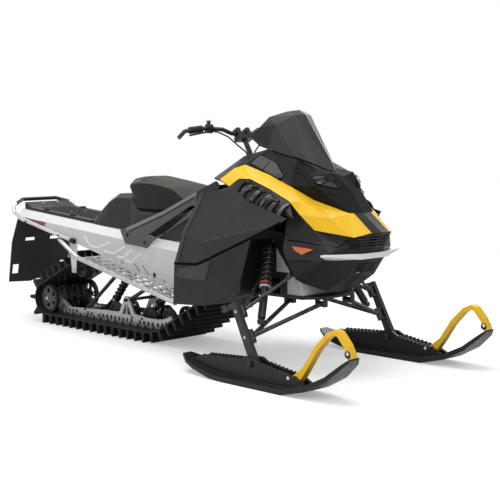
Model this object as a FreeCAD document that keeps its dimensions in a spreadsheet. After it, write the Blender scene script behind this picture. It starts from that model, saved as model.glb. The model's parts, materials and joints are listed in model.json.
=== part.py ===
"""Snowmobile with two steered skis, one driven track and a long rear tunnel.

Frame: +X forward, +Y to the rider's left, +Z up, origin on the ground under the
middle of the machine's bounding box.  Lengths are millimetres.
"""
import FreeCAD
import Part

import math
import os

from FreeCAD import Placement, Rotation, Vector

# Driving sizes: one spreadsheet row each, with an alias that the objects are bound to.
SIZES = [
    # Skis: stations are measured from the ski bolt.
    ("ski_bolt_x", 1010.0),
    ("ski_bolt_z", 99.0),
    ("half_stance", 505.0),
    ("ski_reach_front", 617.0),
    ("ski_reach_rear", 495.0),
    ("ski_width", 178.0),
    ("ski_bolt_radius", 8.0),
    ("saddle_gap", 34.0),
    ("loop_width", 40.0),
    # Steered spindles: the kingpin leans back and lies inboard of the ski.
    ("kingpin_inset", 35.0),
    ("kingpin_rake", 27.0),
    ("kingpin_radius", 9.0),
    ("spindle_thickness", 24.0),
    ("lower_joint_rise", 130.0),
    ("upper_joint_rise", 262.0),
    ("joint_eye_radius", 17.0),
    ("joint_eye_height", 46.0),
    ("steering_arm", 115.0),
    ("steering_arm_rise", 305.0),
    ("arm_tube_radius", 11.0),
    ("shock_coil_radius", 31.0),
    # Steering post and handlebar.
    ("post_x", 400.0),
    ("post_z", 1180.0),
    ("post_rake", 30.0),
    ("post_radius", 14.0),
    ("post_length", 400.0),
    ("bar_radius", 11.0),
    ("bar_half_width", 368.0),
    ("grip_radius", 17.0),
    # Track loop.
    ("track_width", 406.0),
    ("lug_height", 57.0),
    ("belt_thickness", 8.0),
    ("lug_count", 51.0),
    ("idler_x", -1245.0),
    ("idler_radius", 92.0),
    ("carrier_x", -874.0),
    ("carrier_z", 372.0),
    ("carrier_radius", 50.0),
    ("drive_x", 262.0),
    ("drive_z", 391.0),
    ("drive_radius", 88.0),
    ("rail_tip_x", -236.0),
    ("rail_tip_radius", 375.0),
    ("rail_half_spacing", 100.0),
    ("rail_thickness", 12.0),
    ("rail_wheel_radius", 58.0),
    # Tunnel over the track.
    ("tunnel_half_width", 220.0),
    ("tunnel_sheet", 3.0),
    ("tunnel_rear_x", -1500.0),
    ("tunnel_rear_z", 719.0),
    ("tunnel_front_x", 430.0),
    ("tunnel_front_z", 561.0),
    ("tunnel_shoulder", 42.0),
    ("board_half_width", 395.0),
    ("board_tube_radius", 13.0),
    # Anchor holes through the cargo deck.
    ("anchor_rear_x", -1276.0),
    ("anchor_front_x", -989.0),
    ("anchor_half_spacing", 140.0),
    ("anchor_hole_radius", 9.0),
    # Body panels.
    ("panel_thickness", 6.0),
    ("panel_gap", 0.2),
    ("engine_half_width", 160.0),
    # Working clearance between pieces that touch on the real machine.
    ("seat_gap", 0.3),
]

doc = FreeCAD.newDocument("snowmobile")
sheet = doc.addObject("Spreadsheet::Sheet", "sizes")
for row, (alias, value) in enumerate(SIZES, start=1):
    sheet.set(f"A{row}", alias)
    sheet.set(f"B{row}", str(value))
    sheet.setAlias(f"B{row}", alias)
doc.recompute()

size = {alias: float(sheet.get(alias)) for alias, _ in SIZES}
sub_parts = []

RIGHT = -1
LEFT = 1
SIDES = (("right", RIGHT), ("left", LEFT))


def keep(label, item):
    """Registers a document object as a sub-part under its node name."""
    item.Label = label
    sub_parts.append(item)
    return item


def feature(label, shape):
    """A sub-part whose shape is worked out from the sizes."""
    item = doc.addObject("Part::Feature", label)
    item.Shape = shape
    return keep(label, item)


def wire(points):
    corners = [Vector(*point) for point in points]
    return Part.makePolygon(corners + [corners[0]])


def prism(points, direction):
    return Part.Face(wire(points)).extrude(Vector(*direction))


def side_prism(outline, y_low, y_high):
    """Extrudes an outline of (x, z) points from y_low to y_high."""
    return prism([(x, y_low, z) for x, z in outline], (0, y_high - y_low, 0))


def plan_prism(outline, z_low, z_high):
    """Extrudes an outline of (x, y) points from z_low to z_high."""
    return prism([(x, y, z_low) for x, y in outline], (0, 0, z_high - z_low))


def box(x, y, z):
    """A box from three (low, high) pairs."""
    return Part.makeBox(x[1] - x[0], y[1] - y[0], z[1] - z[0], Vector(x[0], y[0], z[0]))


def rod(start, end, radius):
    a = Vector(*start)
    b = Vector(*end)
    return Part.makeCylinder(radius, a.distanceToPoint(b), a, b - a)


def y_disc(x, z, radius, y_low, y_high):
    return Part.makeCylinder(radius, y_high - y_low, Vector(x, y_low, z), Vector(0, 1, 0))


def joined(shapes):
    """Fuses shapes that overlap into one solid and cleans its seams."""
    return shapes[0].multiFuse(shapes[1:]).removeSplitter()


def separate(shapes):
    """Solids of one node that do not touch each other."""
    return Part.makeCompound(shapes)


def mirrored(shape):
    return shape.mirror(Vector(0, 0, 0), Vector(0, 1, 0))


def on_side(shape_right, side):
    """The right-hand piece, or its mirror image for the left."""
    return shape_right if side == RIGHT else mirrored(shape_right)


def bent_tube(points, radius, bend):
    """A round bar along straight runs joined by arcs of the given bend radius."""
    corners = [Vector(*point) for point in points]
    edges = []
    start = corners[0]
    for index in range(1, len(corners) - 1):
        corner = corners[index]
        back = (corners[index - 1] - corner).normalize()
        onward = (corners[index + 1] - corner).normalize()
        turn = math.pi - back.getAngle(onward)
        cut = bend * math.tan(turn / 2)
        enter = corner + back * cut
        leave = corner + onward * cut
        middle_direction = (back + onward).normalize()
        middle = corner + middle_direction * (bend / math.cos(turn / 2) - bend)
        edges.append(Part.LineSegment(start, enter).toShape())
        edges.append(Part.Arc(enter, middle, leave).toShape())
        start = leave
    edges.append(Part.LineSegment(start, corners[-1]).toShape())
    path = Part.Wire(edges)
    section = Part.Wire([Part.makeCircle(radius, corners[0], corners[1] - corners[0])])
    return path.makePipeShell([section], True, False)


# Body panels are faceted shells.  Their inner faces are the outer corners moved
# towards a spine inside the body, so that neighbouring panels never cross.
SPINE_X = (560.0, 1000.0)
SPINE_Z = 690.0


def inward(corner):
    x = min(max(corner.x, SPINE_X[0]), SPINE_X[1])
    return (Vector(x, 0, SPINE_Z) - corner).normalize()


def mirror_name(name, corners):
    return name if abs(corners[name][1]) < 1e-6 else name + "_left"


def both_halves(corners, faces):
    """Adds the left half of a panel that is drawn on the right only."""
    all_corners = dict(corners)
    for name, (x, y, z) in corners.items():
        all_corners[mirror_name(name, corners)] = (x, -y, z)
    left = [[mirror_name(name, corners) for name in reversed(face)] for face in faces]
    return all_corners, list(faces) + left


def triangles_of(face):
    return [(face[0], face[i], face[i + 1]) for i in range(1, len(face) - 1)]


def shell_panel(corners, faces, thickness, gap, directions=None):
    """A closed faceted plate.  Each face lists its corners; the rim is set back by gap.

    A corner named in directions is thickened that way instead of towards the spine.
    """
    place = {name: Vector(*xyz) for name, xyz in corners.items()}
    triangles = [triangle for face in faces for triangle in triangles_of(face)]
    edge_use = {}
    for a, b, c in triangles:
        for start, end in ((a, b), (b, c), (c, a)):
            edge_use[(start, end)] = edge_use.get((start, end), 0) + 1
    rim = [edge for edge in edge_use if (edge[1], edge[0]) not in edge_use]
    used = {name for triangle in triangles for name in triangle}
    rim_names = {name for edge in rim for name in edge}
    outer = {name: place[name] for name in used}
    for name in rim_names:
        around = [t for t in triangles if name in t]
        centre = Vector(0, 0, 0)
        for triangle in around:
            centre = centre + (place[triangle[0]] + place[triangle[1]] + place[triangle[2]]) / 3
        pull = centre / len(around) - place[name]
        outer[name] = place[name] + pull.normalize() * gap
    depth = {name: inward(place[name]) for name in used}
    for name, direction in (directions or {}).items():
        depth[name] = Vector(*direction).normalize()
    inner = {name: outer[name] + depth[name] * thickness for name in used}
    shell = []
    for a, b, c in triangles:
        shell.append(Part.Face(wire([outer[a], outer[b], outer[c]])))
        shell.append(Part.Face(wire([inner[c], inner[b], inner[a]])))
    for a, b in rim:
        shell.append(Part.Face(wire([outer[b], outer[a], inner[a]])))
        shell.append(Part.Face(wire([outer[b], inner[a], inner[b]])))
    solid = Part.makeSolid(Part.makeShell(shell))
    if solid.Volume < 0:
        solid.reverse()
    return solid


# Track loop: a belt pulled tight round four circles, listed in running order from
# the rear idler along the ground to the rail tips, the drive sprockets and the carrier.
BELT_WHEELS = (
    (size["idler_x"], size["lug_height"] + size["belt_thickness"] + size["idler_radius"],
     size["idler_radius"]),
    (size["rail_tip_x"], size["lug_height"] + size["belt_thickness"] + size["rail_tip_radius"],
     size["rail_tip_radius"]),
    (size["drive_x"], size["drive_z"], size["drive_radius"]),
    (size["carrier_x"], size["carrier_z"], size["carrier_radius"]),
)


def belt_pieces(offset):
    """Straight and round pieces of the loop, offset outwards from the wheels."""
    count = len(BELT_WHEELS)
    headings = []
    for index in range(count):
        xa, za, ra = BELT_WHEELS[index]
        xb, zb, rb = BELT_WHEELS[(index + 1) % count]
        distance = math.hypot(xb - xa, zb - za)
        headings.append(math.atan2(zb - za, xb - xa) + math.asin((ra - rb) / distance))
    pieces = []
    for index in range(count):
        x, z, radius = BELT_WHEELS[index]
        start = headings[index - 1]
        end = headings[index]
        while end < start:
            end += 2 * math.pi
        pieces.append(("round", x, z, radius + offset, start, end))
        xb, zb, rb = BELT_WHEELS[(index + 1) % count]
        heading = headings[index]
        reach = (xb - x) * math.cos(heading) + (zb - z) * math.sin(heading)
        pieces.append(("straight", x + (radius + offset) * math.sin(heading),
                       z - (radius + offset) * math.cos(heading), reach, heading))
    return pieces


def loop_wire(offset, y):
    """The loop as a closed wire of true arcs and lines."""
    edges = []
    for piece in belt_pieces(offset):
        if piece[0] == "round":
            ends = []
            for angle in (piece[4], (piece[4] + piece[5]) / 2, piece[5]):
                ends.append(Vector(piece[1] + piece[3] * math.sin(angle), y,
                                   piece[2] - piece[3] * math.cos(angle)))
            edges.append(Part.Arc(*ends).toShape())
        else:
            start = Vector(piece[1], y, piece[2])
            run = Vector(math.cos(piece[4]), 0, math.sin(piece[4])) * piece[3]
            edges.append(Part.LineSegment(start, start + run).toShape())
    return Part.Wire(edges)


def piece_length(piece):
    return piece[3] * (piece[5] - piece[4]) if piece[0] == "round" else piece[3]


def loop_length(offset):
    return sum(piece_length(piece) for piece in belt_pieces(offset))


def loop_point(distance, offset):
    """Place and heading on the loop, at a distance along the belt's middle line."""
    middle = size["belt_thickness"] / 2
    for piece, shifted in zip(belt_pieces(middle), belt_pieces(offset)):
        length = piece_length(piece)
        if distance <= length:
            if piece[0] == "round":
                heading = piece[4] + distance / piece[3]
                return (shifted[1] + shifted[3] * math.sin(heading),
                        shifted[2] - shifted[3] * math.cos(heading), heading)
            return (shifted[1] + distance * math.cos(piece[4]),
                    shifted[2] + distance * math.sin(piece[4]), piece[4])
        distance -= length
    return loop_point(distance, offset)


LUG_BASE = 26.0
LUG_TIP = 12.0


def track():
    """One belt with its lugs in the outline, as wide as the track."""
    total = loop_length(size["belt_thickness"] / 2)
    count = int(size["lug_count"])
    pitch = total / count
    back = size["belt_thickness"]
    outline = []
    for index in range(count):
        middle = index * pitch + pitch / 2
        for shift, lift in ((-LUG_BASE / 2, 0), (-LUG_TIP / 2, 1), (LUG_TIP / 2, 1), (LUG_BASE / 2, 0)):
            x, z, heading = loop_point(middle + shift, back + lift * size["lug_height"])
            outline.append((x, z))
        x, z, heading = loop_point((middle + pitch / 2) % total, back)
        outline.append((x, z))
    half = size["track_width"] / 2
    inside = Part.Face(loop_wire(0, -half - 1)).extrude(Vector(0, 2 * half + 2, 0))
    return side_prism(outline, -half, half).cut(inside)


feature("track", track())


# Rear idlers, rail wheels and carrier wheels.
RIM_SHARE = 0.78
HUB_SHARE = 0.30


def wheel(x, z, radius, y, width):
    """A moulded wheel, dished on both faces between its hub and its rim."""
    tyre = y_disc(x, z, radius - size["seat_gap"], y - width / 2, y + width / 2)
    recess_depth = width * 0.3
    for face in (-1, 1):
        y_face = y + face * width / 2
        low = min(y_face, y_face - face * recess_depth)
        dish = y_disc(x, z, radius * RIM_SHARE, low, low + recess_depth)
        hub = y_disc(x, z, radius * HUB_SHARE, low, low + recess_depth)
        tyre = tyre.cut(dish.cut(hub))
    return tyre


def spoke_gaps(x, z, radius, y_reach, count):
    """Gaps between paired spokes: a slot inside each pair and a wide gap beside it."""
    inner = radius * (HUB_SHARE + 0.06)
    outer = radius * (RIM_SHARE - 0.06)
    gaps = []
    for index in range(count):
        middle = 2 * math.pi * index / count
        for turn, half_in, half_out in ((0, 0.10, 0.06), (math.pi / count, 0.30, 0.38)):
            angle = middle + turn
            ends = ((angle - half_in, inner), (angle + half_in, inner), (angle + half_out, outer),
                    (angle - half_out, outer))
            outline = [(x + reach * math.cos(a), z + reach * math.sin(a)) for a, reach in ends]
            gaps.append(side_prism(outline, -y_reach, y_reach))
    return separate(gaps)


def web_holes(x, z, radius, y_reach, count):
    """A ring of round holes through a small wheel's web."""
    ring = radius * (RIM_SHARE + HUB_SHARE) / 2
    holes = []
    for index in range(count):
        angle = 2 * math.pi * index / count
        holes.append(y_disc(x + ring * math.cos(angle), z + ring * math.sin(angle), radius * 0.12,
                            -y_reach, y_reach))
    return separate(holes)


AXLE_RADIUS = 10.0
IDLER_Y = (-152, -50, 50, 152)
IDLER_WIDTH = 24.0
IDLER_SPOKE_PAIRS = 5
idler_z = size["lug_height"] + size["belt_thickness"] + size["idler_radius"]
belt_top = size["lug_height"] + size["belt_thickness"]


def rear_idlers():
    reach = IDLER_Y[-1] + IDLER_WIDTH
    pieces = [y_disc(size["idler_x"], idler_z, AXLE_RADIUS, -reach, reach)]
    for y in IDLER_Y:
        pieces.append(wheel(size["idler_x"], idler_z, size["idler_radius"], y, IDLER_WIDTH))
    gaps = spoke_gaps(size["idler_x"], idler_z, size["idler_radius"], reach, IDLER_SPOKE_PAIRS)
    return joined(pieces).cut(gaps)


feature("rear_idlers", rear_idlers())


PIVOT_RADIUS = 13.0
RAIL_WHEEL_X = (-660.0, -330.0)
RAIL_WHEEL_Y = 62.0
WEB_HOLES = 6
TIP_WHEEL_ANGLE = 15.0


def rail_wheel_places():
    """Two pairs on the flat of the belt and one where the rails curve up."""
    places = [(x, belt_top + size["rail_wheel_radius"]) for x in RAIL_WHEEL_X]
    angle = math.radians(TIP_WHEEL_ANGLE)
    reach = size["rail_tip_radius"] - size["rail_wheel_radius"]
    places.append((size["rail_tip_x"] + reach * math.sin(angle),
                   belt_top + size["rail_tip_radius"] - reach * math.cos(angle)))
    return places


def rail_wheels():
    """Pairs of small wheels between the rails, each pair on its own cross axle."""
    sets = []
    for x, z in rail_wheel_places():
        reach = size["rail_half_spacing"] - size["rail_thickness"] / 2 - size["seat_gap"]
        pieces = [y_disc(x, z, AXLE_RADIUS - 2, -reach, reach)]
        for y in (-RAIL_WHEEL_Y, RAIL_WHEEL_Y):
            pieces.append(wheel(x, z, size["rail_wheel_radius"], y, 20))
        sets.append(joined(pieces).cut(web_holes(x, z, size["rail_wheel_radius"], reach, WEB_HOLES)))
    return sets


def carrier_wheels():
    """Upper wheels that hold the return run of the belt, on the rear arm's shaft."""
    reach = size["tunnel_half_width"]
    pieces = [y_disc(size["carrier_x"], size["carrier_z"], AXLE_RADIUS, -reach, reach)]
    for y in (-152, 152):
        pieces.append(wheel(size["carrier_x"], size["carrier_z"], size["carrier_radius"], y, 24))
    return joined(pieces)


feature("track_wheels", separate(rail_wheels() + [carrier_wheels()]))


def drive_axle():
    reach = size["tunnel_half_width"] - size["tunnel_sheet"] - size["seat_gap"]
    pieces = [y_disc(size["drive_x"], size["drive_z"], 17, -reach, reach)]
    for y in (-125, -45, 45, 125):
        pieces.append(y_disc(size["drive_x"], size["drive_z"], size["drive_radius"] - size["seat_gap"],
                             y - 14, y + 14))
    return joined(pieces)


feature("drive_axle", drive_axle())


# Slide rails: two upright plates whose lower edge follows the belt.
RAIL_REAR_X = -1290.0
RAIL_HEIGHT = 58.0
RAIL_TIP_ANGLE = 27.0
BRACKET_X = -505.0
BRACKET_Z = 232.0
SHOCK_FEET = (-430.0, -820.0)
SHOCK_FOOT_Z = 98.0
REAR_FOOT = (-960.0, 98.0)


def rail_outline():
    low = belt_top + size["seat_gap"]
    tip_z = belt_top + size["rail_tip_radius"]
    outline = [(-1175, low), (size["rail_tip_x"], low)]
    steps = 5
    for step in range(1, steps + 1):
        angle = math.radians(RAIL_TIP_ANGLE * step / steps)
        radius = size["rail_tip_radius"] - size["seat_gap"]
        outline.append((size["rail_tip_x"] + radius * math.sin(angle), tip_z - radius * math.cos(angle)))
    for step in range(steps, 0, -1):
        angle = math.radians(RAIL_TIP_ANGLE * step / steps)
        radius = size["rail_tip_radius"] - RAIL_HEIGHT
        outline.append((size["rail_tip_x"] + radius * math.sin(angle), tip_z - radius * math.cos(angle)))
    outline += [
        (size["rail_tip_x"] - 80, low + RAIL_HEIGHT),
        (BRACKET_X + 75, low + RAIL_HEIGHT + 8),
        (BRACKET_X + 18, BRACKET_Z),
        (BRACKET_X - 18, BRACKET_Z),
        (BRACKET_X - 70, low + RAIL_HEIGHT + 10),
        (-1080, low + 46),
        (-1195, idler_z + 14),
        (RAIL_REAR_X, idler_z + 14),
        (RAIL_REAR_X, idler_z - 14),
        (-1225, low + 22),
    ]
    return outline


RAIL_WINDOW = 22.0
RAIL_WINDOW_PITCH = 40.0
RAIL_WINDOW_RISE = 14.0
RAIL_WINDOW_REAR = -1140.0


def rail_windows():
    """Outlines cut through both rails: a row along the foot, some round the tip, two in the bracket."""
    low = belt_top + RAIL_WINDOW_RISE
    solid_spots = list(SHOCK_FEET) + [REAR_FOOT[0]]
    outlines = []
    x = RAIL_WINDOW_REAR
    while x < size["rail_tip_x"]:
        if min(abs(x - spot) for spot in solid_spots) > RAIL_WINDOW / 2 + PIVOT_RADIUS + 4:
            reach = RAIL_WINDOW / 2
            outlines.append([(x - reach, low), (x + reach, low), (x + reach, low + RAIL_WINDOW),
                             (x - reach, low + RAIL_WINDOW)])
        x += RAIL_WINDOW_PITCH
    tip_z = belt_top + size["rail_tip_radius"]
    outer = size["rail_tip_radius"] - RAIL_WINDOW_RISE
    step = RAIL_WINDOW_PITCH / size["rail_tip_radius"]
    half_turn = RAIL_WINDOW / 2 / size["rail_tip_radius"]
    for index in range(4):
        middle = step * (index + 0.7)
        corners = ((middle - half_turn, outer), (middle + half_turn, outer),
                   (middle + half_turn, outer - RAIL_WINDOW), (middle - half_turn, outer - RAIL_WINDOW))
        outlines.append([(size["rail_tip_x"] + reach * math.sin(a), tip_z - reach * math.cos(a))
                         for a, reach in corners])
    foot = belt_top + RAIL_HEIGHT
    for side in (-1, 1):
        outlines.append([(BRACKET_X + side * 5, foot), (BRACKET_X + side * 44, foot),
                         (BRACKET_X + side * 10, foot + 62), (BRACKET_X + side * 5, foot + 62)])
    return outlines


def slide_rails():
    rails = []
    for side in (RIGHT, LEFT):
        middle = side * size["rail_half_spacing"]
        half = size["rail_thickness"] / 2
        plate = side_prism(rail_outline(), middle - half, middle + half)
        plate = plate.cut(y_disc(size["idler_x"], idler_z, AXLE_RADIUS + size["seat_gap"],
                                 middle - half - 1, middle + half + 1))
        plate = plate.cut(y_disc(BRACKET_X, BRACKET_Z - 22, AXLE_RADIUS + size["seat_gap"],
                                 middle - half - 1, middle + half + 1))
        windows = [side_prism(outline, middle - half - 1, middle + half + 1) for outline in rail_windows()]
        rails.append(plate.cut(separate(windows)))
    between = size["rail_half_spacing"]
    for x in SHOCK_FEET:
        rails.append(y_disc(x, SHOCK_FOOT_Z, PIVOT_RADIUS, -between, between))
    return joined(rails)


feature("slide_rails", slide_rails())


# Swing arms and shocks between the tunnel and the rails.
def tunnel_top_z(x):
    run = size["tunnel_front_x"] - size["tunnel_rear_x"]
    fall = size["tunnel_rear_z"] - size["tunnel_front_z"]
    return size["tunnel_rear_z"] - fall * (x - size["tunnel_rear_x"]) / run


# Points on the lower edge of the tunnel's sides, from the knee forward.
TUNNEL_KNEE = (-830.0, 533.0)
TUNNEL_STEP = (63.0, 344.0)
TUNNEL_FOOT = (250.0, 292.0)


def tunnel_edge_z(x):
    """Height of the lower edge of the tunnel's sides."""
    rear_x, rear_z = size["tunnel_rear_x"], size["tunnel_rear_z"] - size["tunnel_shoulder"]
    knee_x, knee_z = TUNNEL_KNEE
    front_x, front_z = TUNNEL_STEP
    if x < knee_x:
        return rear_z + (knee_z - rear_z) * (x - rear_x) / (knee_x - rear_x)
    return knee_z + (front_z - knee_z) * (x - knee_x) / (front_x - knee_x)


FRONT_PIVOT = (-60.0, 428.0)
REAR_PIVOT = (-560.0, 402.0)


def cross_shaft(x, z, half_length, radius):
    return y_disc(x, z, radius, -half_length, half_length)


def suspension_arms():
    inside = size["tunnel_half_width"] - size["tunnel_sheet"] - size["seat_gap"]
    hung = size["tunnel_half_width"]
    between = size["rail_half_spacing"] - size["rail_thickness"] / 2 - size["seat_gap"]
    front = [cross_shaft(FRONT_PIVOT[0], FRONT_PIVOT[1], inside, PIVOT_RADIUS),
             cross_shaft(BRACKET_X, BRACKET_Z - 22, size["rail_half_spacing"] + 22, AXLE_RADIUS)]
    rear = [cross_shaft(REAR_PIVOT[0], REAR_PIVOT[1], hung, PIVOT_RADIUS),
            cross_shaft(REAR_FOOT[0], REAR_FOOT[1], between, PIVOT_RADIUS)]
    for side in (RIGHT, LEFT):
        front.append(rod((FRONT_PIVOT[0], side * 78, FRONT_PIVOT[1]),
                         (BRACKET_X, side * 78, BRACKET_Z - 22), 12))
        rear.append(rod((REAR_PIVOT[0], side * 78, REAR_PIVOT[1]),
                        (REAR_FOOT[0], side * 78, REAR_FOOT[1]), 12))
    return [joined(front), joined(rear)]


SHOCK_EYE_HALF = 13.0
SPRING_TURNS = 8
SPRING_WIRE = 7.0


def spring(start, along, length, radius):
    """A closed sleeve whose outline swells at every turn of the wire."""
    pitch = length / SPRING_TURNS
    profile = [(0, 0), (radius - SPRING_WIRE, 0)]
    for turn in range(SPRING_TURNS):
        profile.append((radius, (turn + 0.3) * pitch))
        profile.append((radius, (turn + 0.6) * pitch))
        profile.append((radius - SPRING_WIRE, (turn + 0.9) * pitch))
    profile += [(radius - SPRING_WIRE, length), (0, length)]
    section = Part.Face(wire([(r, 0, rise) for r, rise in profile]))
    sleeve = section.revolve(Vector(0, 0, 0), Vector(0, 0, 1), 360)
    sleeve.Placement = Placement(start, Rotation(Vector(0, 0, 1), along))
    return sleeve


def coil_over(top, bottom, body_radius, coil_radius, eye_radius, hole_radius=0):
    """A damper with its spring: body, spring, lower collar and an eye at each end."""
    a = Vector(*top)
    b = Vector(*bottom)
    run = b - a
    along = Vector(run).normalize()
    pieces = [rod(top, bottom, body_radius)]
    pieces.append(spring(a + along * (run.Length * 0.14), along, run.Length * 0.56, coil_radius))
    collar = a + along * (run.Length * 0.70)
    pieces.append(Part.makeCylinder(coil_radius - 2, run.Length * 0.05, collar, along))
    for end in (a, b):
        foot = end - Vector(0, SHOCK_EYE_HALF, 0)
        pieces.append(Part.makeCylinder(eye_radius, 2 * SHOCK_EYE_HALF, foot, Vector(0, 1, 0)))
    damper = joined(pieces)
    if hole_radius:
        for end in (a, b):
            damper = damper.cut(Part.makeCylinder(hole_radius, 40, end - Vector(0, 20, 0), Vector(0, 1, 0)))
    return damper


def track_shocks():
    """Two shocks from the arms' upper shafts down to cross tubes between the rails."""
    hole = PIVOT_RADIUS + size["seat_gap"]
    pair = []
    for pivot, foot_x in ((FRONT_PIVOT, SHOCK_FEET[0]), (REAR_PIVOT, SHOCK_FEET[1])):
        pair.append(coil_over((pivot[0], 0, pivot[1]), (foot_x, 0, SHOCK_FOOT_Z), 12, 28, 20, hole))
    return pair


feature("track_suspension", separate(suspension_arms() + track_shocks()))


# Tunnel: a folded sheet with bevelled shoulders, its sides cut to a rising lower edge.
def tunnel_section(inset, x, z, depth):
    half = size["tunnel_half_width"] - inset
    shoulder = size["tunnel_shoulder"] - inset * 0.4
    top = z - inset
    return [(x, -half, z - depth), (x, -half, top - shoulder), (x, -half + shoulder, top),
            (x, half - shoulder, top), (x, half, top - shoulder), (x, half, z - depth)]


DECK_THICKNESS = 17.0


def at_anchors(radius, low, high):
    """An upright cylinder at each luggage anchor, between two heights over the deck."""
    found = []
    for x in (size["anchor_rear_x"], size["anchor_front_x"]):
        for side in (RIGHT, LEFT):
            foot = Vector(x, side * size["anchor_half_spacing"], tunnel_top_z(x) + DECK_THICKNESS + low)
            found.append(Part.makeCylinder(radius, high - low, foot))
    return found


def anchor_holes():
    """Holes through the deck and the tunnel's top for luggage anchors."""
    return separate(at_anchors(size["anchor_hole_radius"], -60, 60))


def tunnel():
    rear_x = size["tunnel_rear_x"]
    rear_z = size["tunnel_rear_z"]
    run = (size["tunnel_front_x"] - rear_x, 0, size["tunnel_front_z"] - rear_z)
    outer = prism(tunnel_section(0, rear_x, rear_z, 420), run)
    long_run = (run[0] * 1.02, 0, run[2] * 1.02)
    inner = prism(tunnel_section(size["tunnel_sheet"], rear_x - run[0] * 0.01, rear_z - run[2] * 0.01, 440),
                  long_run)
    beyond = size["tunnel_front_x"] + 5
    below = [(rear_x - 5, tunnel_edge_z(rear_x)), TUNNEL_KNEE, TUNNEL_STEP, TUNNEL_FOOT,
             (beyond, TUNNEL_FOOT[1]), (beyond, 0), (rear_x - 5, 0)]
    half = size["tunnel_half_width"] + 5
    shell = outer.cut(inner).cut(side_prism(below, -half, half))
    pieces = [shell]
    for x, z, shaft in ((size["carrier_x"], size["carrier_z"], AXLE_RADIUS),
                        (REAR_PIVOT[0], REAR_PIVOT[1], PIVOT_RADIUS)):
        top = tunnel_edge_z(x) + 20
        hanger = [(x - 44, top), (x + 44, top), (x + 20, z - 18), (x - 20, z - 18)]
        for side in (RIGHT, LEFT):
            low, high = sorted((side * size["tunnel_half_width"],
                                side * (size["tunnel_half_width"] - size["tunnel_sheet"])))
            plate = side_prism(hanger, low, high)
            pieces.append(plate.cut(y_disc(x, z, shaft + size["seat_gap"], low - 1, high + 1)))
    return joined(pieces).cut(anchor_holes())


feature("tunnel", tunnel())


# Running boards: an outer tube and an open traction strip along the tunnel's edge.
BOARD_STATIONS = (-577.0, 300.0)
BOARD_STRIP = 5.0


def running_board():
    inner_y = -(size["tunnel_half_width"] + size["seat_gap"])
    outer_y = -size["board_half_width"]
    rear_x, front_x = BOARD_STATIONS
    rear_z = tunnel_edge_z(rear_x)
    front_z = tunnel_edge_z(front_x) + 8
    tube_inset = inner_y - size["board_tube_radius"]
    tube = bent_tube([(-1000, tube_inset, tunnel_edge_z(-1000) - 22),
                      (rear_x, outer_y, rear_z), (front_x, outer_y, front_z)],
                     size["board_tube_radius"], 120)
    ribs = []
    rib_count = 13
    for index in range(rib_count):
        x = rear_x + 18 + (front_x - rear_x - 36) * index / (rib_count - 1)
        z = rear_z + (front_z - rear_z) * (x - rear_x) / (front_x - rear_x)
        ribs.append(rod((x, inner_y, z), (x, outer_y, z), 6))
    beam = rod((rear_x, inner_y - 8, rear_z), (front_x, inner_y - 8, front_z), 8)
    return joined([tube, beam] + ribs)


feature("running_boards", separate([running_board(), mirrored(running_board())]))


# Rear grab bar: a tube clamped along both tunnel sides and swept up behind the deck.
def grab_bar():
    y = size["tunnel_half_width"] + 12 + size["seat_gap"]
    right = [(-850, -y, 548), (-1430, -y, 660), (-1513, -y, 700), (-1520, -y, 742), (-1575, -130, 776)]
    path = right + [(x, -yy, z) for x, yy, z in reversed(right)]
    return bent_tube(path, 12, 24)


feature("rear_grab_bar", grab_bar())


# Snow flap: a moulded sheet under the tunnel's rear end, with four slots and cross ribs.
FLAP_RIBS = (262.0, 290.0, 318.0, 346.0, 374.0, 402.0, 470.0)
FLAP_RIB_HEIGHT = 3.0
FLAP_SLOT_Z = 440.0


def snow_flap():
    top_z, low_z = size["tunnel_rear_z"] - 0.5, 226.0
    outline = [(-150, top_z), (150, top_z), (205, 650), (230, 500), (222, 235), (60, low_z), (0, 240),
               (-60, low_z), (-222, 235), (-230, 500), (-205, 650)]
    top_x, low_x, thickness = size["tunnel_rear_x"] - size["seat_gap"], -1620.0, 7.0
    slope = (low_x - top_x) / (top_z - low_z)

    def on_sheet(points, depth):
        return prism([(top_x + (top_z - z) * slope, y, z) for y, z in points], (-depth, 0, 0))

    pieces = [on_sheet(outline, thickness)]
    for z in FLAP_RIBS:
        half = 140 if z < FLAP_SLOT_Z else 200
        pieces.append(on_sheet([(-half, z), (half, z), (half, z + 6), (-half, z + 6)],
                               thickness + FLAP_RIB_HEIGHT))
    sheet_body = joined(pieces)
    for y_low, y_high, z_low, z_high in ((-130, -60, 505, 525), (60, 130, 505, 525),
                                         (-205, -160, 290, 350), (160, 205, 290, 350)):
        sheet_body = sheet_body.cut(box((-1700, -1400), (y_low, y_high), (z_low, z_high)))
    return sheet_body


feature("snow_flap", snow_flap())


# Cargo deck on top of the tunnel.
DECK_REAR = -1488.0
DECK_FRONT = -760.0
DECK_LIP = 44.0
ANCHOR_BOSS_RADIUS = 20.0
ANCHOR_BOSS_HEIGHT = 4.0
ANCHOR_EDGE = 25.0
DECK_RIBS = (-96.0, -64.0, -32.0, 0.0, 32.0, 64.0, 96.0)
DECK_RIB_WIDTH = 10.0
DECK_RIB_HEIGHT = 5.0


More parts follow.
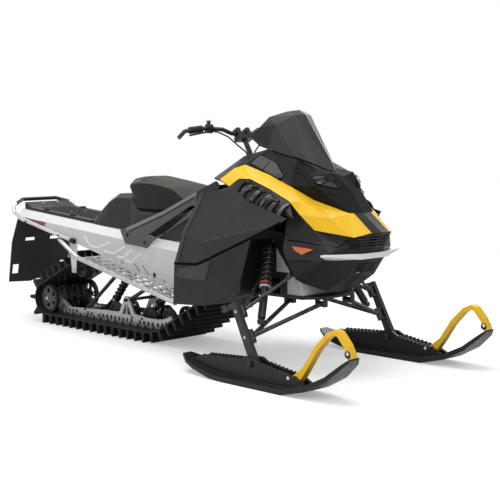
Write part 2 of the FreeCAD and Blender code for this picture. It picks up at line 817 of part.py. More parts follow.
def cargo_deck():
    """A moulded plate with a raised rear lip and a round boss at each anchor."""
    rear = DECK_REAR
    lip_end = rear + 90
    half = size["anchor_half_spacing"] + ANCHOR_EDGE
    lift = size["seat_gap"]
    side = [(rear, tunnel_top_z(rear) + lift), (DECK_FRONT, tunnel_top_z(DECK_FRONT) + lift),
            (DECK_FRONT, tunnel_top_z(DECK_FRONT) + DECK_THICKNESS),
            (lip_end, tunnel_top_z(lip_end) + DECK_THICKNESS), (rear, tunnel_top_z(rear) + DECK_LIP)]
    bosses = at_anchors(ANCHOR_BOSS_RADIUS, -DECK_THICKNESS / 2, ANCHOR_BOSS_HEIGHT)
    ribs = []
    start, end = lip_end + DECK_RIB_WIDTH, DECK_FRONT - DECK_RIB_WIDTH
    rib = [(start, tunnel_top_z(start) + DECK_THICKNESS - 1), (end, tunnel_top_z(end) + DECK_THICKNESS - 1),
           (end, tunnel_top_z(end) + DECK_THICKNESS + DECK_RIB_HEIGHT),
           (start, tunnel_top_z(start) + DECK_THICKNESS + DECK_RIB_HEIGHT)]
    for y in DECK_RIBS:
        ribs.append(side_prism(rib, y - DECK_RIB_WIDTH / 2, y + DECK_RIB_WIDTH / 2))
    return joined([side_prism(side, -half, half)] + bosses + ribs).cut(anchor_holes())


feature("cargo_deck", cargo_deck())


def tail_lamp():
    """A flat lamp on the raised rear lip of the deck."""
    back = DECK_REAR - size["seat_gap"]
    return box((back - 18, back), (-70, 70), (tunnel_top_z(DECK_REAR) + 12, tunnel_top_z(DECK_REAR) + 42))


feature("tail_lamp", tail_lamp())


# Seat: a wedge-shaped cushion on the tank and tail box.
def loft_sections(sections):
    wires = [wire(section) for section in sections]
    return Part.makeLoft(wires, True, True)


SEAT_LOW = ((-345.0, 757.0), (-60.0, 757.0), (60.0, 762.0), (150.0, 790.0))

# Cushion sections: place of the top, how far the foot stands in front of it, height, half width.
SEAT_STATIONS = ((-440.0, 95.0, 914.0, 125.0), (-400.0, 78.0, 933.0, 138.0), (-310.0, 45.0, 944.0, 146.0),
                 (-150.0, 0.0, 940.0, 150.0), (0.0, 0.0, 931.0, 150.0), (60.0, 0.0, 903.0, 138.0),
                 (150.0, 0.0, 856.0, 105.0))
SEAT_SHOULDER = 28.0
SEAT_CROWN = 0.72


def seat_low(x):
    """Height of the cushion's underside, which the tank's top follows."""
    for (xa, za), (xb, zb) in zip(SEAT_LOW, SEAT_LOW[1:]):
        if x <= xb:
            return za + (zb - za) * (x - xa) / (xb - xa)
    return SEAT_LOW[-1][1]


def seat_cushion():
    """A wedge whose rear face leans, so that its top reaches back over its foot."""
    sections = []
    for x, lean, top, half in SEAT_STATIONS:
        foot = x + lean
        low = seat_low(foot)
        crown = half * SEAT_CROWN
        side_x = x + lean * SEAT_SHOULDER / (top - low)
        side_z = top - SEAT_SHOULDER
        sections.append([(foot, -half, low), (foot, half, low), (side_x, half, side_z), (x, crown, top),
                         (x, -crown, top), (side_x, -half, side_z)])
    return loft_sections(sections)


feature("seat_cushion", seat_cushion())


# Tail box, seated length and front of the tank: place, height of the top and half width.
TAIL_BOX = ((-752.0, 700.0, 110.0), (-735.0, 715.0, 150.0), (-600.0, 812.0, 150.0), (-540.0, 842.0, 140.0),
            (-405.0, 842.0, 130.0))
TANK_SEATED = ((-352.0, 150.0), (-60.0, 160.0), (60.0, 140.0), (150.0, 120.0))
TANK_FRONT = ((155.0, 792.0, 120.0), (300.0, 812.0, 120.0), (395.0, 920.0, 150.0))
TANK_FLARE = 20.0
TANK_SHOULDER = 24.0
TANK_BEVEL = 30.0


def tank():
    """Fuel tank under the seat, drawn out behind it into a low tail box."""
    gap = size["seat_gap"]
    seated = [(x, seat_low(x) - gap, half) for x, half in TANK_SEATED]
    sections = []
    for x, top, half in [*TAIL_BOX, *seated, *TANK_FRONT]:
        low = tunnel_top_z(x) + gap
        sections.append([(x, -half - TANK_FLARE, low), (x, half + TANK_FLARE, low),
                         (x, half, top - TANK_SHOULDER), (x, half - TANK_BEVEL, top),
                         (x, -half + TANK_BEVEL, top), (x, -half, top - TANK_SHOULDER)])
    return loft_sections(sections)


feature("seat_base", tank())


# Steering frame: cut plates from the tunnel's sides up to a cross tube that holds the
# steering post's bearing, welded into one piece.
BRACE_THICKNESS = 12.0


def brace():
    y_in = -(size["tunnel_half_width"] + size["seat_gap"])
    outline = [(-384, 640), (-340, 566), (-150, 552), (-100, 592), (330, 785), (470, 905), (440, 935),
               (300, 882), (17, 768), (-300, 664)]
    window = [(-130, 628), (235, 800), (290, 806), (120, 700), (10, 640), (-80, 612)]
    plate = side_prism(outline, y_in - BRACE_THICKNESS, y_in)
    return plate.cut(side_prism(window, y_in - 20, y_in + 8))


rake = math.radians(size["post_rake"])
post_axis = Vector(-math.sin(rake), 0, math.cos(rake))
post_top = Vector(size["post_x"], 0, size["post_z"])
BEARING_DROP = 300.0
BRIDGE = (440.0, 902.0)
bearing = post_top - post_axis * BEARING_DROP


def post_bearing():
    """A cross tube between the braces with an arm that holds the post's bearing."""
    reach = size["tunnel_half_width"] + size["seat_gap"] + BRACE_THICKNESS / 2
    bridge = y_disc(BRIDGE[0], BRIDGE[1], 14, -reach, reach)
    arm_plate = box((BRIDGE[0], bearing.x), (-30, 30), (BRIDGE[1] - 12, BRIDGE[1] + 12))
    boss = Part.makeCylinder(30, 80, bearing - post_axis * 40, post_axis)
    hole = Part.makeCylinder(size["post_radius"] + size["seat_gap"], 140, bearing - post_axis * 70, post_axis)
    return [bridge, arm_plate, boss.cut(hole)], hole


def steering_frame():
    pieces, hole = post_bearing()
    return joined([brace(), mirrored(brace())] + pieces).cut(hole)


feature("steering_frame", steering_frame())


# Front frame: cast bulkhead with a tray under the engine and mounts for the arms.
ARM_FRONT = (1060.0, 342.0)
ARM_REAR = (846.0, 342.0)
ARM_INNER_Y = 100.0
UPPER_FRONT = (975.0, 492.0)
UPPER_REAR = (764.0, 492.0)
BULKHEAD_HALF = 190.0
TRAY_LOW = 366.0
TRAY_THICKNESS = 12.0
BULKHEAD_FRONT = 1084.0
PIVOT_BARREL = 44.0
ROD_WINDOW = ((796.0, 866.0), (382.0, 462.0))
ROD_INNER = (850.0, 100.0, 440.0)


def bulkhead():
    """Tray under the engine, side ribs, a front wall and lugs for the lower arms."""
    wall_x = 1000.0
    rib = [(470, TRAY_LOW), (wall_x + 20, TRAY_LOW), (wall_x + 20, 440), (955, 560), (880, 690),
           (742, 690), (700, 520), (470, 410)]
    half = BULKHEAD_HALF
    low_z = TRAY_LOW
    pieces = [plan_prism([(440, -half), (wall_x, -half), (BULKHEAD_FRONT, -118), (BULKHEAD_FRONT, 118),
                          (wall_x, half), (440, half)], low_z, low_z + TRAY_THICKNESS)]
    for side in (RIGHT, LEFT):
        low, high = sorted((side * (half - 20), side * half))
        plate = side_prism(rib, low, high)
        plate = plate.cut(box(ROD_WINDOW[0], (low - 1, high + 1), ROD_WINDOW[1]))
        pieces.append(plate)
        for x, z in (ARM_FRONT, ARM_REAR):
            for step in (-1, 1):
                inner_x = x + step * (PIVOT_BARREL / 2 + size["seat_gap"])
                outer_x = x + step * (PIVOT_BARREL / 2 + 8)
                pieces.append(box(sorted((inner_x, outer_x)),
                                  sorted((side * (ARM_INNER_Y - 14), side * (ARM_INNER_Y + 14))),
                                  (z - 14, low_z + 2)))
    pieces.append(box((wall_x, wall_x + 20), (-half, half), (low_z, 560)))
    return joined(pieces)


feature("bulkhead", bulkhead())

engine = doc.addObject("Part::Box", "engine")
engine.setExpression("Width", "sizes.engine_half_width * 2")
engine.Length = 335
engine.Height = 410
engine.setExpression("Placement.Base.y", "-sizes.engine_half_width")
engine.Placement.Base.x = 455
engine.Placement.Base.z = TRAY_LOW + TRAY_THICKNESS + size["seat_gap"]
keep("engine", engine)


# Spindles and arms.
lean = math.radians(size["kingpin_rake"])
kingpin_axis = Vector(-math.sin(lean), 0, math.cos(lean))
kingpin_y = -(size["half_stance"] - size["kingpin_inset"])
kingpin_foot = Vector(size["ski_bolt_x"], kingpin_y, size["ski_bolt_z"])
lower_joint = kingpin_foot + kingpin_axis * size["lower_joint_rise"]
upper_joint = kingpin_foot + kingpin_axis * size["upper_joint_rise"]


def on_kingpin(rise, radius, height):
    """A cylinder on the kingpin axis, centred at a rise above the ski bolt."""
    start = kingpin_foot + kingpin_axis * (rise - height / 2)
    return Part.makeCylinder(radius, height, start, kingpin_axis)


def joint_eye(rise):
    ring = on_kingpin(rise, size["joint_eye_radius"], size["joint_eye_height"])
    return ring.cut(on_kingpin(rise, size["kingpin_radius"] + size["seat_gap"], size["joint_eye_height"] + 4))


def arm(joint, rise, front, rear, inner_y, radius):
    """A V of two tubes from a ball joint's eye to two pivots on the frame."""
    clear = on_kingpin(rise, size["kingpin_radius"] + size["seat_gap"], size["joint_eye_height"] + 60)
    pieces = [on_kingpin(rise, size["joint_eye_radius"], size["joint_eye_height"])]
    for x, z in (front, rear):
        pieces.append(rod((joint.x, joint.y, joint.z), (x, -inner_y, z), radius))
        barrel_start = Vector(x - PIVOT_BARREL / 2, -inner_y, z)
        pieces.append(Part.makeCylinder(radius + 4, PIVOT_BARREL, barrel_start, Vector(1, 0, 0)))
    return joined(pieces).cut(clear)


def front_arms():
    lower = arm(lower_joint, size["lower_joint_rise"], ARM_FRONT, ARM_REAR, ARM_INNER_Y,
                size["arm_tube_radius"])
    tube = size["arm_tube_radius"] - 2
    upper = arm(upper_joint, size["upper_joint_rise"], UPPER_FRONT, UPPER_REAR,
                BULKHEAD_HALF + tube + 4 + size["seat_gap"], tube)
    return separate([lower, upper])


def ear(rise):
    """A lug that reaches from the spindle's beam over the kingpin."""
    start = kingpin_foot + kingpin_axis * (rise - 5)
    disc = Part.makeCylinder(size["joint_eye_radius"] - 1, 10, start, kingpin_axis)
    across = Vector(math.cos(lean), 0, math.sin(lean)) * (size["joint_eye_radius"] - 1)
    beam_y = -size["half_stance"]
    corners = [start + across, start - across,
               Vector((start - across).x, beam_y, (start - across).z),
               Vector((start + across).x, beam_y, (start + across).z)]
    web = Part.Face(wire(corners)).extrude(kingpin_axis * 10)
    return disc.fuse(web)


STEERING_ARM_PIN = 12.0


def spindle():
    beam_y = -size["half_stance"]
    half = size["spindle_thickness"] / 2
    along = kingpin_axis
    across = Vector(math.cos(lean), 0, math.sin(lean))
    foot = Vector(size["ski_bolt_x"], beam_y - half, size["ski_bolt_z"])
    top = foot + along * (size["steering_arm_rise"] + 5)
    outline = [foot + across * 24, top + across * 18, top - across * 18, foot - across * 24]
    beam = Part.Face(wire(outline)).extrude(Vector(0, 2 * half, 0))
    pieces = [beam, y_disc(size["ski_bolt_x"], size["ski_bolt_z"], 26, beam_y - half, beam_y + half)]
    step = size["joint_eye_height"] / 2 + 5 + size["seat_gap"]
    for rise in (size["lower_joint_rise"], size["upper_joint_rise"]):
        pieces += [ear(rise - step), ear(rise + step)]
        pieces.append(on_kingpin(rise, size["kingpin_radius"], 2 * step))
    arm_start = kingpin_foot + along * (size["steering_arm_rise"] - 5)
    arm_end = arm_start - across * size["steering_arm"]
    bar = [arm_start + Vector(0, 14, 0), arm_start - Vector(0, size["kingpin_inset"], 0),
           arm_end - Vector(0, 14, 0), arm_end + Vector(0, 14, 0)]
    pieces.append(Part.Face(wire(bar)).extrude(along * 10))
    pieces.append(Part.makeCylinder(18, 10, arm_end, along))
    solid = joined(pieces)
    return solid.cut(y_disc(size["ski_bolt_x"], size["ski_bolt_z"], size["ski_bolt_radius"] + 0.05,
                            beam_y - half - 1, beam_y + half + 1))


def tie_rod():
    along = kingpin_axis
    across = Vector(math.cos(lean), 0, math.sin(lean))
    eye_low = kingpin_foot + along * (size["steering_arm_rise"] + 5 + size["seat_gap"]) \
        - across * size["steering_arm"]
    eye = Part.makeCylinder(15, 22, eye_low, along)
    centre = eye_low + along * 11
    inner = (ROD_INNER[0], -ROD_INNER[1], ROD_INNER[2])
    link = y_disc(ROD_INNER[0], ROD_INNER[2], 8, -ROD_INNER[1] - 3, 0)
    return joined([eye, rod((centre.x, centre.y, centre.z), inner, 8), link])


def front_shock():
    mount = lower_joint + (Vector(ARM_REAR[0], -ARM_INNER_Y, ARM_REAR[1]) - lower_joint) * 0.22
    low = (mount.x + 4, mount.y, mount.z + size["arm_tube_radius"] + 21 + size["seat_gap"])
    top = (813, -(BULKHEAD_HALF + SHOCK_EYE_HALF + size["seat_gap"]), 648)
    return coil_over(top, low, 12, size["shock_coil_radius"], 15)


for name, side in SIDES:
    feature(f"front_arms_{name}", on_side(front_arms(), side))
    feature(f"spindle_{name}", on_side(spindle(), side))

feature("front_shocks", separate([front_shock(), mirrored(front_shock())]))
feature("tie_rods", joined([tie_rod(), mirrored(tie_rod())]))


# Skis: a moulded keel profile with toothed ridges, a saddle and a carrying loop.
TOOTH_HEIGHT = 7.0
TOOTH_PITCH = 27.0


def toothed(start, end):
    """Points of a row of teeth that stands on the line between two (x, z) points."""
    count = max(1, round(abs(end[0] - start[0]) / TOOTH_PITCH))
    points = []
    for index in range(count):
        for share, lift in ((0.1, 0), (0.3, TOOTH_HEIGHT), (0.5, TOOTH_HEIGHT), (0.7, 0)):
            at = (index + share) / count
            points.append((start[0] + (end[0] - start[0]) * at, start[1] + (end[1] - start[1]) * at + lift))
    return points


def ski():
    bolt_x = size["ski_bolt_x"]
    front = bolt_x + size["ski_reach_front"]
    rear = bolt_x - size["ski_reach_rear"]
    middle_y = -size["half_stance"]
    half = size["ski_width"] / 2
    sole = [(rear, 72), (rear + 120, 30), (rear + 260, 6), (rear + 345, 0), (bolt_x + 250, 0),
            (bolt_x + 390, 34), (bolt_x + 510, 96), (front - 22, 168), (front, 196)]
    deck = [(front, 206), (front - 40, 176), (bolt_x + 500, 116), (bolt_x + 380, 58), (bolt_x + 250, 24),
            (rear + 345, 22), (rear + 260, 28), (rear + 120, 50), (rear, 88)]
    base = side_prism(sole + deck, middle_y - half, middle_y + half)
    plan = [(rear, 28), (rear + 60, 62), (rear + 260, half), (bolt_x + 330, half), (front - 90, 66),
            (front - 20, 48), (front, 30)]
    outline = [(x, middle_y - y) for x, y in plan] + [(x, middle_y + y) for x, y in reversed(plan)]
    base = base.common(plan_prism(outline, -5, 300))
    rear_top, rear_end = (rear + 150, 96), (bolt_x - 80, 112)
    front_top, front_end = (bolt_x + 70, 108), (bolt_x + 300, 74)
    ridge = [(rear + 60, 60), rear_top] + toothed(rear_top, rear_end)
    ridge += [rear_end, (bolt_x - 34, 130), (bolt_x + 26, 130), front_top] + toothed(front_top, front_end)
    ridge += [front_end, (bolt_x + 340, 54), (bolt_x + 320, 30), (bolt_x + 240, 8), (rear + 350, 8),
              (rear + 150, 34)]
    pieces = [base]
    gap = size["saddle_gap"] / 2
    for sign in (-1, 1):
        low, high = sorted((middle_y + sign * gap, middle_y + sign * (gap + 16)))
        pieces.append(side_prism(ridge, low, high))
    bolt = y_disc(bolt_x, size["ski_bolt_z"], size["ski_bolt_radius"], middle_y - gap - 22, middle_y + gap + 22)
    pieces.append(bolt)
    return joined(pieces)


def ski_loop():
    """The handle at the ski's front: a flat band from the ridges over to the tip."""
    bolt_x = size["ski_bolt_x"]
    middle_y = -size["half_stance"]
    half = size["loop_width"] / 2
    outer = [(bolt_x + 250, 70), (bolt_x + 330, 132), (bolt_x + 395, 228), (bolt_x + 470, 300),
             (bolt_x + 520, 322), (bolt_x + 545, 312), (bolt_x + 590, 262), (bolt_x + 616, 214),
             (bolt_x + 616, 201)]
    inner = [(bolt_x + 598, 188), (bolt_x + 578, 240), (bolt_x + 535, 290), (bolt_x + 516, 298),
             (bolt_x + 478, 279), (bolt_x + 412, 210), (bolt_x + 345, 112), (bolt_x + 300, 52)]
    return side_prism(outer + inner, middle_y - half, middle_y + half)


for name, side in SIDES:
    feature(f"ski_{name}", on_side(ski(), side))
    feature(f"ski_loop_{name}", on_side(ski_loop().cut(ski()), side))


# Steering post, handlebar and controls.
def steering_post():
    low = post_top - post_axis * size["post_length"]
    post = Part.makeCylinder(size["post_radius"], size["post_length"] - 20, low, post_axis)
    head = box((-24, 24), (-52, 52), (-40, -16))
    head.Placement = Placement(post_top, Rotation(Vector(0, 0, 1), post_axis))
    clamps = []
    for y in (-34, 34):
        block = box((-20, 20), (y - 13, y + 13), (-30, 26))
        block.Placement = Placement(post_top, Rotation(Vector(0, 0, 1), post_axis))
        clamps.append(block)
    clear = y_disc(size["post_x"], size["post_z"], size["bar_radius"] + 0.05, -70, 70)
    return joined([post, head] + clamps).cut(clear)


feature("steering_post", steering_post())


def bar_path(sign):
    x, z = size["post_x"], size["post_z"]
    wide = size["bar_half_width"]
    return [(x - 12, sign * 130, z + 22), (x - 30, sign * (wide - 130), z + 28),
            (x - 62, sign * (wide - 20), z + 14), (x - 90, sign * wide, z - 22)]


def handlebar():
    x, z = size["post_x"], size["post_z"]
    right = bar_path(RIGHT)
    left = bar_path(LEFT)
    path = list(reversed(right)) + [(x, -75, z), (x, 75, z)] + left
    return bent_tube(path, size["bar_radius"], 18)


feature("handlebar", handlebar())


def grips():
    pair = []
    for side in (RIGHT, LEFT):
        path = bar_path(side)
        start = Vector(*path[1])
        end = Vector(*path[2])
        run = end - start
        begin = start + run * 0.12
        sleeve = rod(begin, start + run * 0.8, size["grip_radius"])
        core = rod(start - run * 0.1, end, size["bar_radius"] + 0.05)
        pair.append(sleeve.cut(core))
    return separate(pair)


feature("grips", grips())


BLOCK_START = 0.62
BLOCK_END = 0.90
BLOCK_RADIUS = 24.0
STOP_BUTTON_RISE = 38.0


def hand_controls():
    """Switch block with the throttle on the right, brake lever and block on the left."""
    pieces = []
    for side in (RIGHT, LEFT):
        path = bar_path(side)
        inner = Vector(*path[0])
        outer = Vector(*path[1])
        run = outer - inner
        block = rod(inner + run * BLOCK_START, inner + run * BLOCK_END, BLOCK_RADIUS)
        core = rod(inner, outer, size["bar_radius"] + 0.05)
        lever_start = inner + run * 0.8 + Vector(18, 0, -14)
        lever_end = Vector(*path[2]) + Vector(38, 0, -22)
        lever = rod(lever_start, lever_end, 5)
        perch = rod(inner + run * 0.8, lever_start, 8)
        parts = [block, perch, lever]
        if side == RIGHT:
            parts.append(rod(inner + run * 0.76, inner + run * 0.76 + Vector(-4, 0, STOP_BUTTON_RISE), 10))
        pieces.append(joined(parts).cut(core))
    return separate(pieces)


feature("hand_controls", hand_controls())

# Cables: from each switch block in a sagging line to a clip on the post.
CABLE_RADIUS = 4.0
CLIP_DROP = 150.0


def cable_clip():
    """A band round the post that holds the cables' lower ends."""
    middle = post_top - post_axis * CLIP_DROP
    band = Part.makeCylinder(size["post_radius"] + 9, 22, middle - post_axis * 11, post_axis)
    bore = Part.makeCylinder(size["post_radius"] + 0.05, 40, middle - post_axis * 20, post_axis)
    return band.cut(bore)


def cable(side):
    """One cable from the switch block along the bar's underside and down to the clip."""
    path = bar_path(side)
    inner = Vector(*path[0])
    run = Vector(*path[1]) - inner
    along = Vector(run).normalize()
    start = inner + run * BLOCK_START - along * size["seat_gap"] + Vector(12, 0, -13)
    leave = start - along * 34
    clip = post_top - post_axis * (CLIP_DROP - 4) + Vector(0, side * (size["post_radius"] + 4), 0)
    route = [tuple(start), tuple(leave + Vector(4, 0, -5)), (leave.x + 26, leave.y - side * 44, leave.z - 28),
             (leave.x + 54, leave.y - side * 84, leave.z - 72),
             (clip.x - 12, clip.y + side * 14, clip.z + 30), (clip.x, clip.y, clip.z - 8)]
    return bent_tube(route, CABLE_RADIUS, 24)


def control_cables():
    pieces = [cable_clip()]
    for side in (RIGHT, LEFT):
        pieces.append(cable(side))
    return joined(pieces)


feature("control_cables", control_cables())


# Upper body.  One table of corners on the right side, shared by the panels that meet there;
# corners with y = 0 lie on the middle line.
BODY = {
    "console_low": (395, -200, 951), "console_top": (551, -130, 1064), "dash_rear": (560, 0, 1060),
    "tank_out": (396, -118, 923), "tank_mid": (396, 0, 923), "dash_mid": (735, 0, 1085),
    "shield_rear": (735, -140, 1099), "shield_mid": (905, -105, 1050), "shield_low": (995, -75, 1004),
    "shield_tip": (1085, 0, 966), "brow_out": (1048, -158, 972), "brow_in": (1112, -78, 984),
    "brow_mid": (1120, 0, 966), "sill_out": (1082, -165, 922), "sill_in": (1158, -78, 902),
    "sill_mid": (1168, 0, 898), "nose_top": (1243, 0, 790), "nose_low": (1356, 0, 704),
    "stripe_rear": (511, -270, 947), "stripe_2": (593, -240, 1006), "stripe_3": (658, -225, 1024),
    "stripe_4": (802, -205, 977), "stripe_5": (929, -180, 920), "stripe_6": (1056, -145, 854),
    "stripe_7": (1234, -85, 793), "stripe_8": (1349, -82, 701), "crease_5": (1040, -222, 850),
    "crease_6": (1190, -172, 772), "low_1": (619, -300, 912), "low_2": (682, -290, 953),
    "low_3": (756, -285, 952), "low_4": (891, -280, 903), "low_5": (1009, -270, 848),
    "low_6": (1054, -255, 792), "low_7": (1130, -225, 712), "low_8": (1296, -135, 682),
    "grille_out": (1268, -130, 640), "grille_in": (1306, -80, 622), "grille_mid": (1312, 0, 622),
    "band_rear": (957, -262, 613), "band_side": (1226, -228, 612), "band_front": (1280, -100, 572),
    "band_mid": (1284, 0, 572), "hip_rear": (1010, -232, 474), "hip_low": (1045, -215, 452),
    "chin_out": (1228, -100, 486), "chin_mid": (1232, 0, 486), "keel_out": (1105, -112, 410),
    "keel_low": (1098, 0, 392),
}

HOOD_FACES = [
    ("console_low", "console_top", "stripe_2", "stripe_rear"),
    ("console_top", "shield_rear", "stripe_3", "stripe_2"),
    ("console_top", "dash_rear", "dash_mid", "shield_rear"),
    ("shield_rear", "dash_mid", "shield_mid"),
    ("shield_mid", "dash_mid", "shield_tip", "shield_low"),
    ("shield_rear", "stripe_4", "stripe_3"),
    ("shield_rear", "shield_mid", "stripe_5", "stripe_4"),
    ("shield_mid", "brow_out", "stripe_5"),
    ("shield_mid", "shield_low", "brow_out"),
    ("shield_low", "brow_in", "brow_out"),
    ("shield_low", "shield_tip", "brow_in"),
    ("shield_tip", "brow_mid", "brow_in"),
    ("brow_out", "sill_out", "stripe_5"),
    ("brow_out", "brow_in", "sill_in", "sill_out"),
    ("brow_in", "brow_mid", "sill_mid", "sill_in"),
    ("sill_out", "stripe_6", "stripe_5"),
    ("sill_out", "sill_in", "stripe_7", "stripe_6"),
    ("sill_in", "sill_mid", "nose_top", "stripe_7"),
]

CONSOLE_FACES = [("dash_rear", "tank_mid", "tank_out", "console_low", "console_top")]

STRIPE_FACES = [
    ("stripe_rear", "stripe_2", "low_2", "low_1"),
    ("stripe_2", "stripe_3", "low_3", "low_2"),
    ("stripe_3", "stripe_4", "low_4", "low_3"),
    ("stripe_4", "stripe_5", "crease_5", "low_5", "low_4"),
    ("stripe_5", "stripe_6", "crease_5"),
    ("stripe_6", "stripe_7", "crease_6", "crease_5"),
    ("crease_5", "crease_6", "low_6", "low_5"),
    ("crease_6", "low_7", "low_6"),
    ("crease_6", "low_8", "low_7"),
    ("stripe_7", "stripe_8", "low_8", "crease_6"),
]


def half_panel(corners, faces):
    return shell_panel(corners, faces, size["panel_thickness"], size["panel_gap"])


def full_panel(faces):
    """A body panel with its mirror image in one piece."""
    used = {name: BODY[name] for face in faces for name in face}
    whole, whole_faces = both_halves(used, faces)
    return half_panel(whole, whole_faces)


def lamp_block(margin):
    """A headlamp's room between the brow and the sill, grown by a margin."""
    outline = [(1060 - margin, 968 + margin), (1112 + margin, 966 + margin), (1122 + margin, 928 - margin),
               (1068 - margin, 924 - margin)]
    return side_prism(outline, -152 - margin, -102 + margin)


def hood():
    recess = lamp_block(size["seat_gap"])
    return full_panel(HOOD_FACES).cut(recess).cut(mirrored(recess))


feature("hood", hood())


def console():
    """Panel between the tank and the hood that the steering post comes through."""
    clear = size["post_radius"] + 6
    hole = Part.makeCylinder(clear, 200, post_top - post_axis * 300, post_axis)
    return full_panel(CONSOLE_FACES).cut(hole)


feature("console", console())


# Side panels: an upper cover and a lower one that wraps under to the floor.
SIDE = {
    "top_rear": (439, -330, 884), "top_2": (516, -330, 881), "peak": (674, -312, 909),
    "top_4": (777, -340, 854), "tip": (1067, -350, 774), "low_front": (1040, -362, 752),
    "low_join": (862, -385, 671), "low_mid": (516, -430, 522), "low_rear": (335, -430, 514),
    "rear_mid": (395, -420, 682), "rear_up": (420, -390, 758), "crease": (560, -432, 640),
}

SIDE_FACES = [
    ("top_rear", "top_2", "crease", "rear_up"),
    ("top_2", "peak", "crease"),
    ("peak", "top_4", "crease"),
    ("top_4", "tip", "low_front", "crease"),
    ("crease", "low_front", "low_join"),
    ("crease", "low_join", "low_mid"),
    ("rear_up", "crease", "rear_mid"),
    ("rear_mid", "crease", "low_mid", "low_rear"),
]

SEAM = 0.4


def under(corner):
    """The lower panel's corner below a corner of the upper one."""
    return (corner[0], corner[1], corner[2] - SEAM)


FOOT = {
    "top_rear": under(SIDE["low_rear"]), "top_mid": under(SIDE["low_mid"]),
    "top_front": under(SIDE["low_join"]),
    "low_rear": (309, -420, 302), "low_mid": (530, -420, 314), "low_3": (736, -410, 349),
    "low_front": (775, -400, 385), "floor_rear": (309, -220.6, 303), "floor_mid": (430, -220.6, 306),
    "wall_low": (715, -190.6, 372), "wall_top": (742, -190.6, 650),
}

FOOT_DIRECTIONS = {
    "floor_rear": (0, 0, 1), "floor_mid": (0, 0, 1), "low_front": (-0.54, 0.40, 0.74),
    "top_front": (-0.8, 0.5, -0.35), "wall_low": (-0.53, -0.22, 0.82), "wall_top": (-0.91, -0.33, 0.24),
}

FOOT_FACES = [
    ("top_rear", "top_mid", "low_mid", "low_rear"),
    ("top_mid", "top_front", "low_front", "low_3", "low_mid"),
    ("low_rear", "low_mid", "floor_mid", "floor_rear"),
    ("low_mid", "low_3", "wall_low", "floor_mid"),
    ("low_3", "low_front", "wall_low"),
    ("low_front", "top_front", "wall_top", "wall_low"),
]


def outer_solid(shape, body):
    """What is left of a shape outside a body panel, without scraps behind the panel."""
    solids = shape.cut(body).Solids
    return max(solids, key=lambda solid: solid.Volume)


def foot_panel():
    panel = shell_panel(FOOT, FOOT_FACES, size["panel_thickness"], size["panel_gap"], FOOT_DIRECTIONS)
    return outer_solid(panel, half_panel(SIDE, SIDE_FACES))


for name, panel in (("hood_stripes", half_panel(BODY, STRIPE_FACES)),
                    ("side_panels", half_panel(SIDE, SIDE_FACES)), ("foot_panels", foot_panel())):
    feature(name, separate([panel, mirrored(panel)]))


# Louvres between the stripe and the side panel: a backing plate with curved vanes.
VANE_COUNT = 5
VANE_HEIGHT = 11.0
VANE_THICKNESS = 9.0
VENT_FACES = [("low_1", "low_2", "peak"), ("low_2", "low_3", "peak"), ("low_3", "top_4", "peak"),
              ("low_3", "low_4", "top_4"), ("low_4", "low_5", "tip", "top_4"), ("low_1", "peak", "top_2")]


def vane(x, z):
    """A curved blade's outline, from the stripe's lower edge back and down to the side panel."""
    middle = [(x, z - 4), (x - 34, z + 2), (x - 52, z - 16), (x - 58, z - 46), (x - 58, z - 120)]
    inner = [(px + VANE_THICKNESS * 0.6, pz - VANE_THICKNESS) for px, pz in middle]
    return side_prism(middle + list(reversed(inner)), -400, -200)


def vent():
    corners = dict(BODY)
    corners.update({name: SIDE[name] for name in ("top_2", "peak", "top_4", "tip")})
    backing = half_panel(corners, VENT_FACES)
    room = shell_panel(corners, VENT_FACES, -VANE_HEIGHT, size["panel_gap"] + 1)
    rear, front = BODY["low_3"], BODY["low_5"]
    blades = []
    for index in range(VANE_COUNT):
        share = (index + 0.25) / VANE_COUNT
        x = rear[0] + (front[0] - rear[0]) * share
        z = rear[2] + (front[2] - rear[2]) * share
        blades.append(vane(x, z).common(room))
    return joined([backing] + blades)


# Nose and belly, each with a grille of level slots.
GRILLE_HALF = 66.0
GRILLE_SLOT = 6.0
NOSE_GRILLE = (638.0, 652.0, 666.0, 680.0)
BELLY_GRILLE = (504.0, 518.0, 532.0, 546.0)

NOSE_FACES = [
    ("stripe_7", "nose_top", "nose_low", "stripe_8"),
    ("stripe_8", "nose_low", "grille_mid", "grille_in"),
    ("stripe_8", "grille_in", "grille_out", "low_8"),
]

BELLY_FACES = [
    ("low_5", "low_6", "band_rear"),
    ("low_6", "low_7", "band_side", "band_rear"),
    ("low_7", "low_8", "grille_out", "band_side"),
    ("grille_out", "grille_in", "band_front", "band_side"),
    ("grille_in", "grille_mid", "band_mid", "band_front"),
    ("band_rear", "band_side", "hip_rear"),
    ("band_side", "hip_low", "hip_rear"),
    ("band_side", "chin_out", "hip_low"),
    ("band_side", "band_front", "chin_out"),
    ("band_front", "band_mid", "chin_mid", "chin_out"),
    ("chin_out", "keel_out", "hip_low"),
    ("chin_out", "chin_mid", "keel_low", "keel_out"),
]


def slotted(panel, heights):
    """A panel with level slots through its front face, split by an upright in the middle."""
    slots = []
    for z in heights:
        for side in (RIGHT, LEFT):
            slots.append(box((1180, 1400), sorted((side * 5, side * GRILLE_HALF)), (z, z + GRILLE_SLOT)))
    return panel.cut(separate(slots))


feature("nose_cap", slotted(full_panel(NOSE_FACES), NOSE_GRILLE))
belly = full_panel(BELLY_FACES)
feature("belly_pan", slotted(belly, BELLY_GRILLE))
vent_right = outer_solid(vent(), belly)
feature("hood_vents", separate([vent_right, mirrored(vent_right)]))


def front_bumper():
    """A flat band carried across the nose, swept back at both ends."""
    outline = [(1236, -297), (1313, -94), (1313, 94), (1236, 297), (1200, 287), (1200, 225), (1279, 60),
               (1279, -60), (1200, -225), (1200, -287)]
    return outer_solid(plan_prism(outline, 576, 604), belly)


feature("front_bumper", front_bumper())


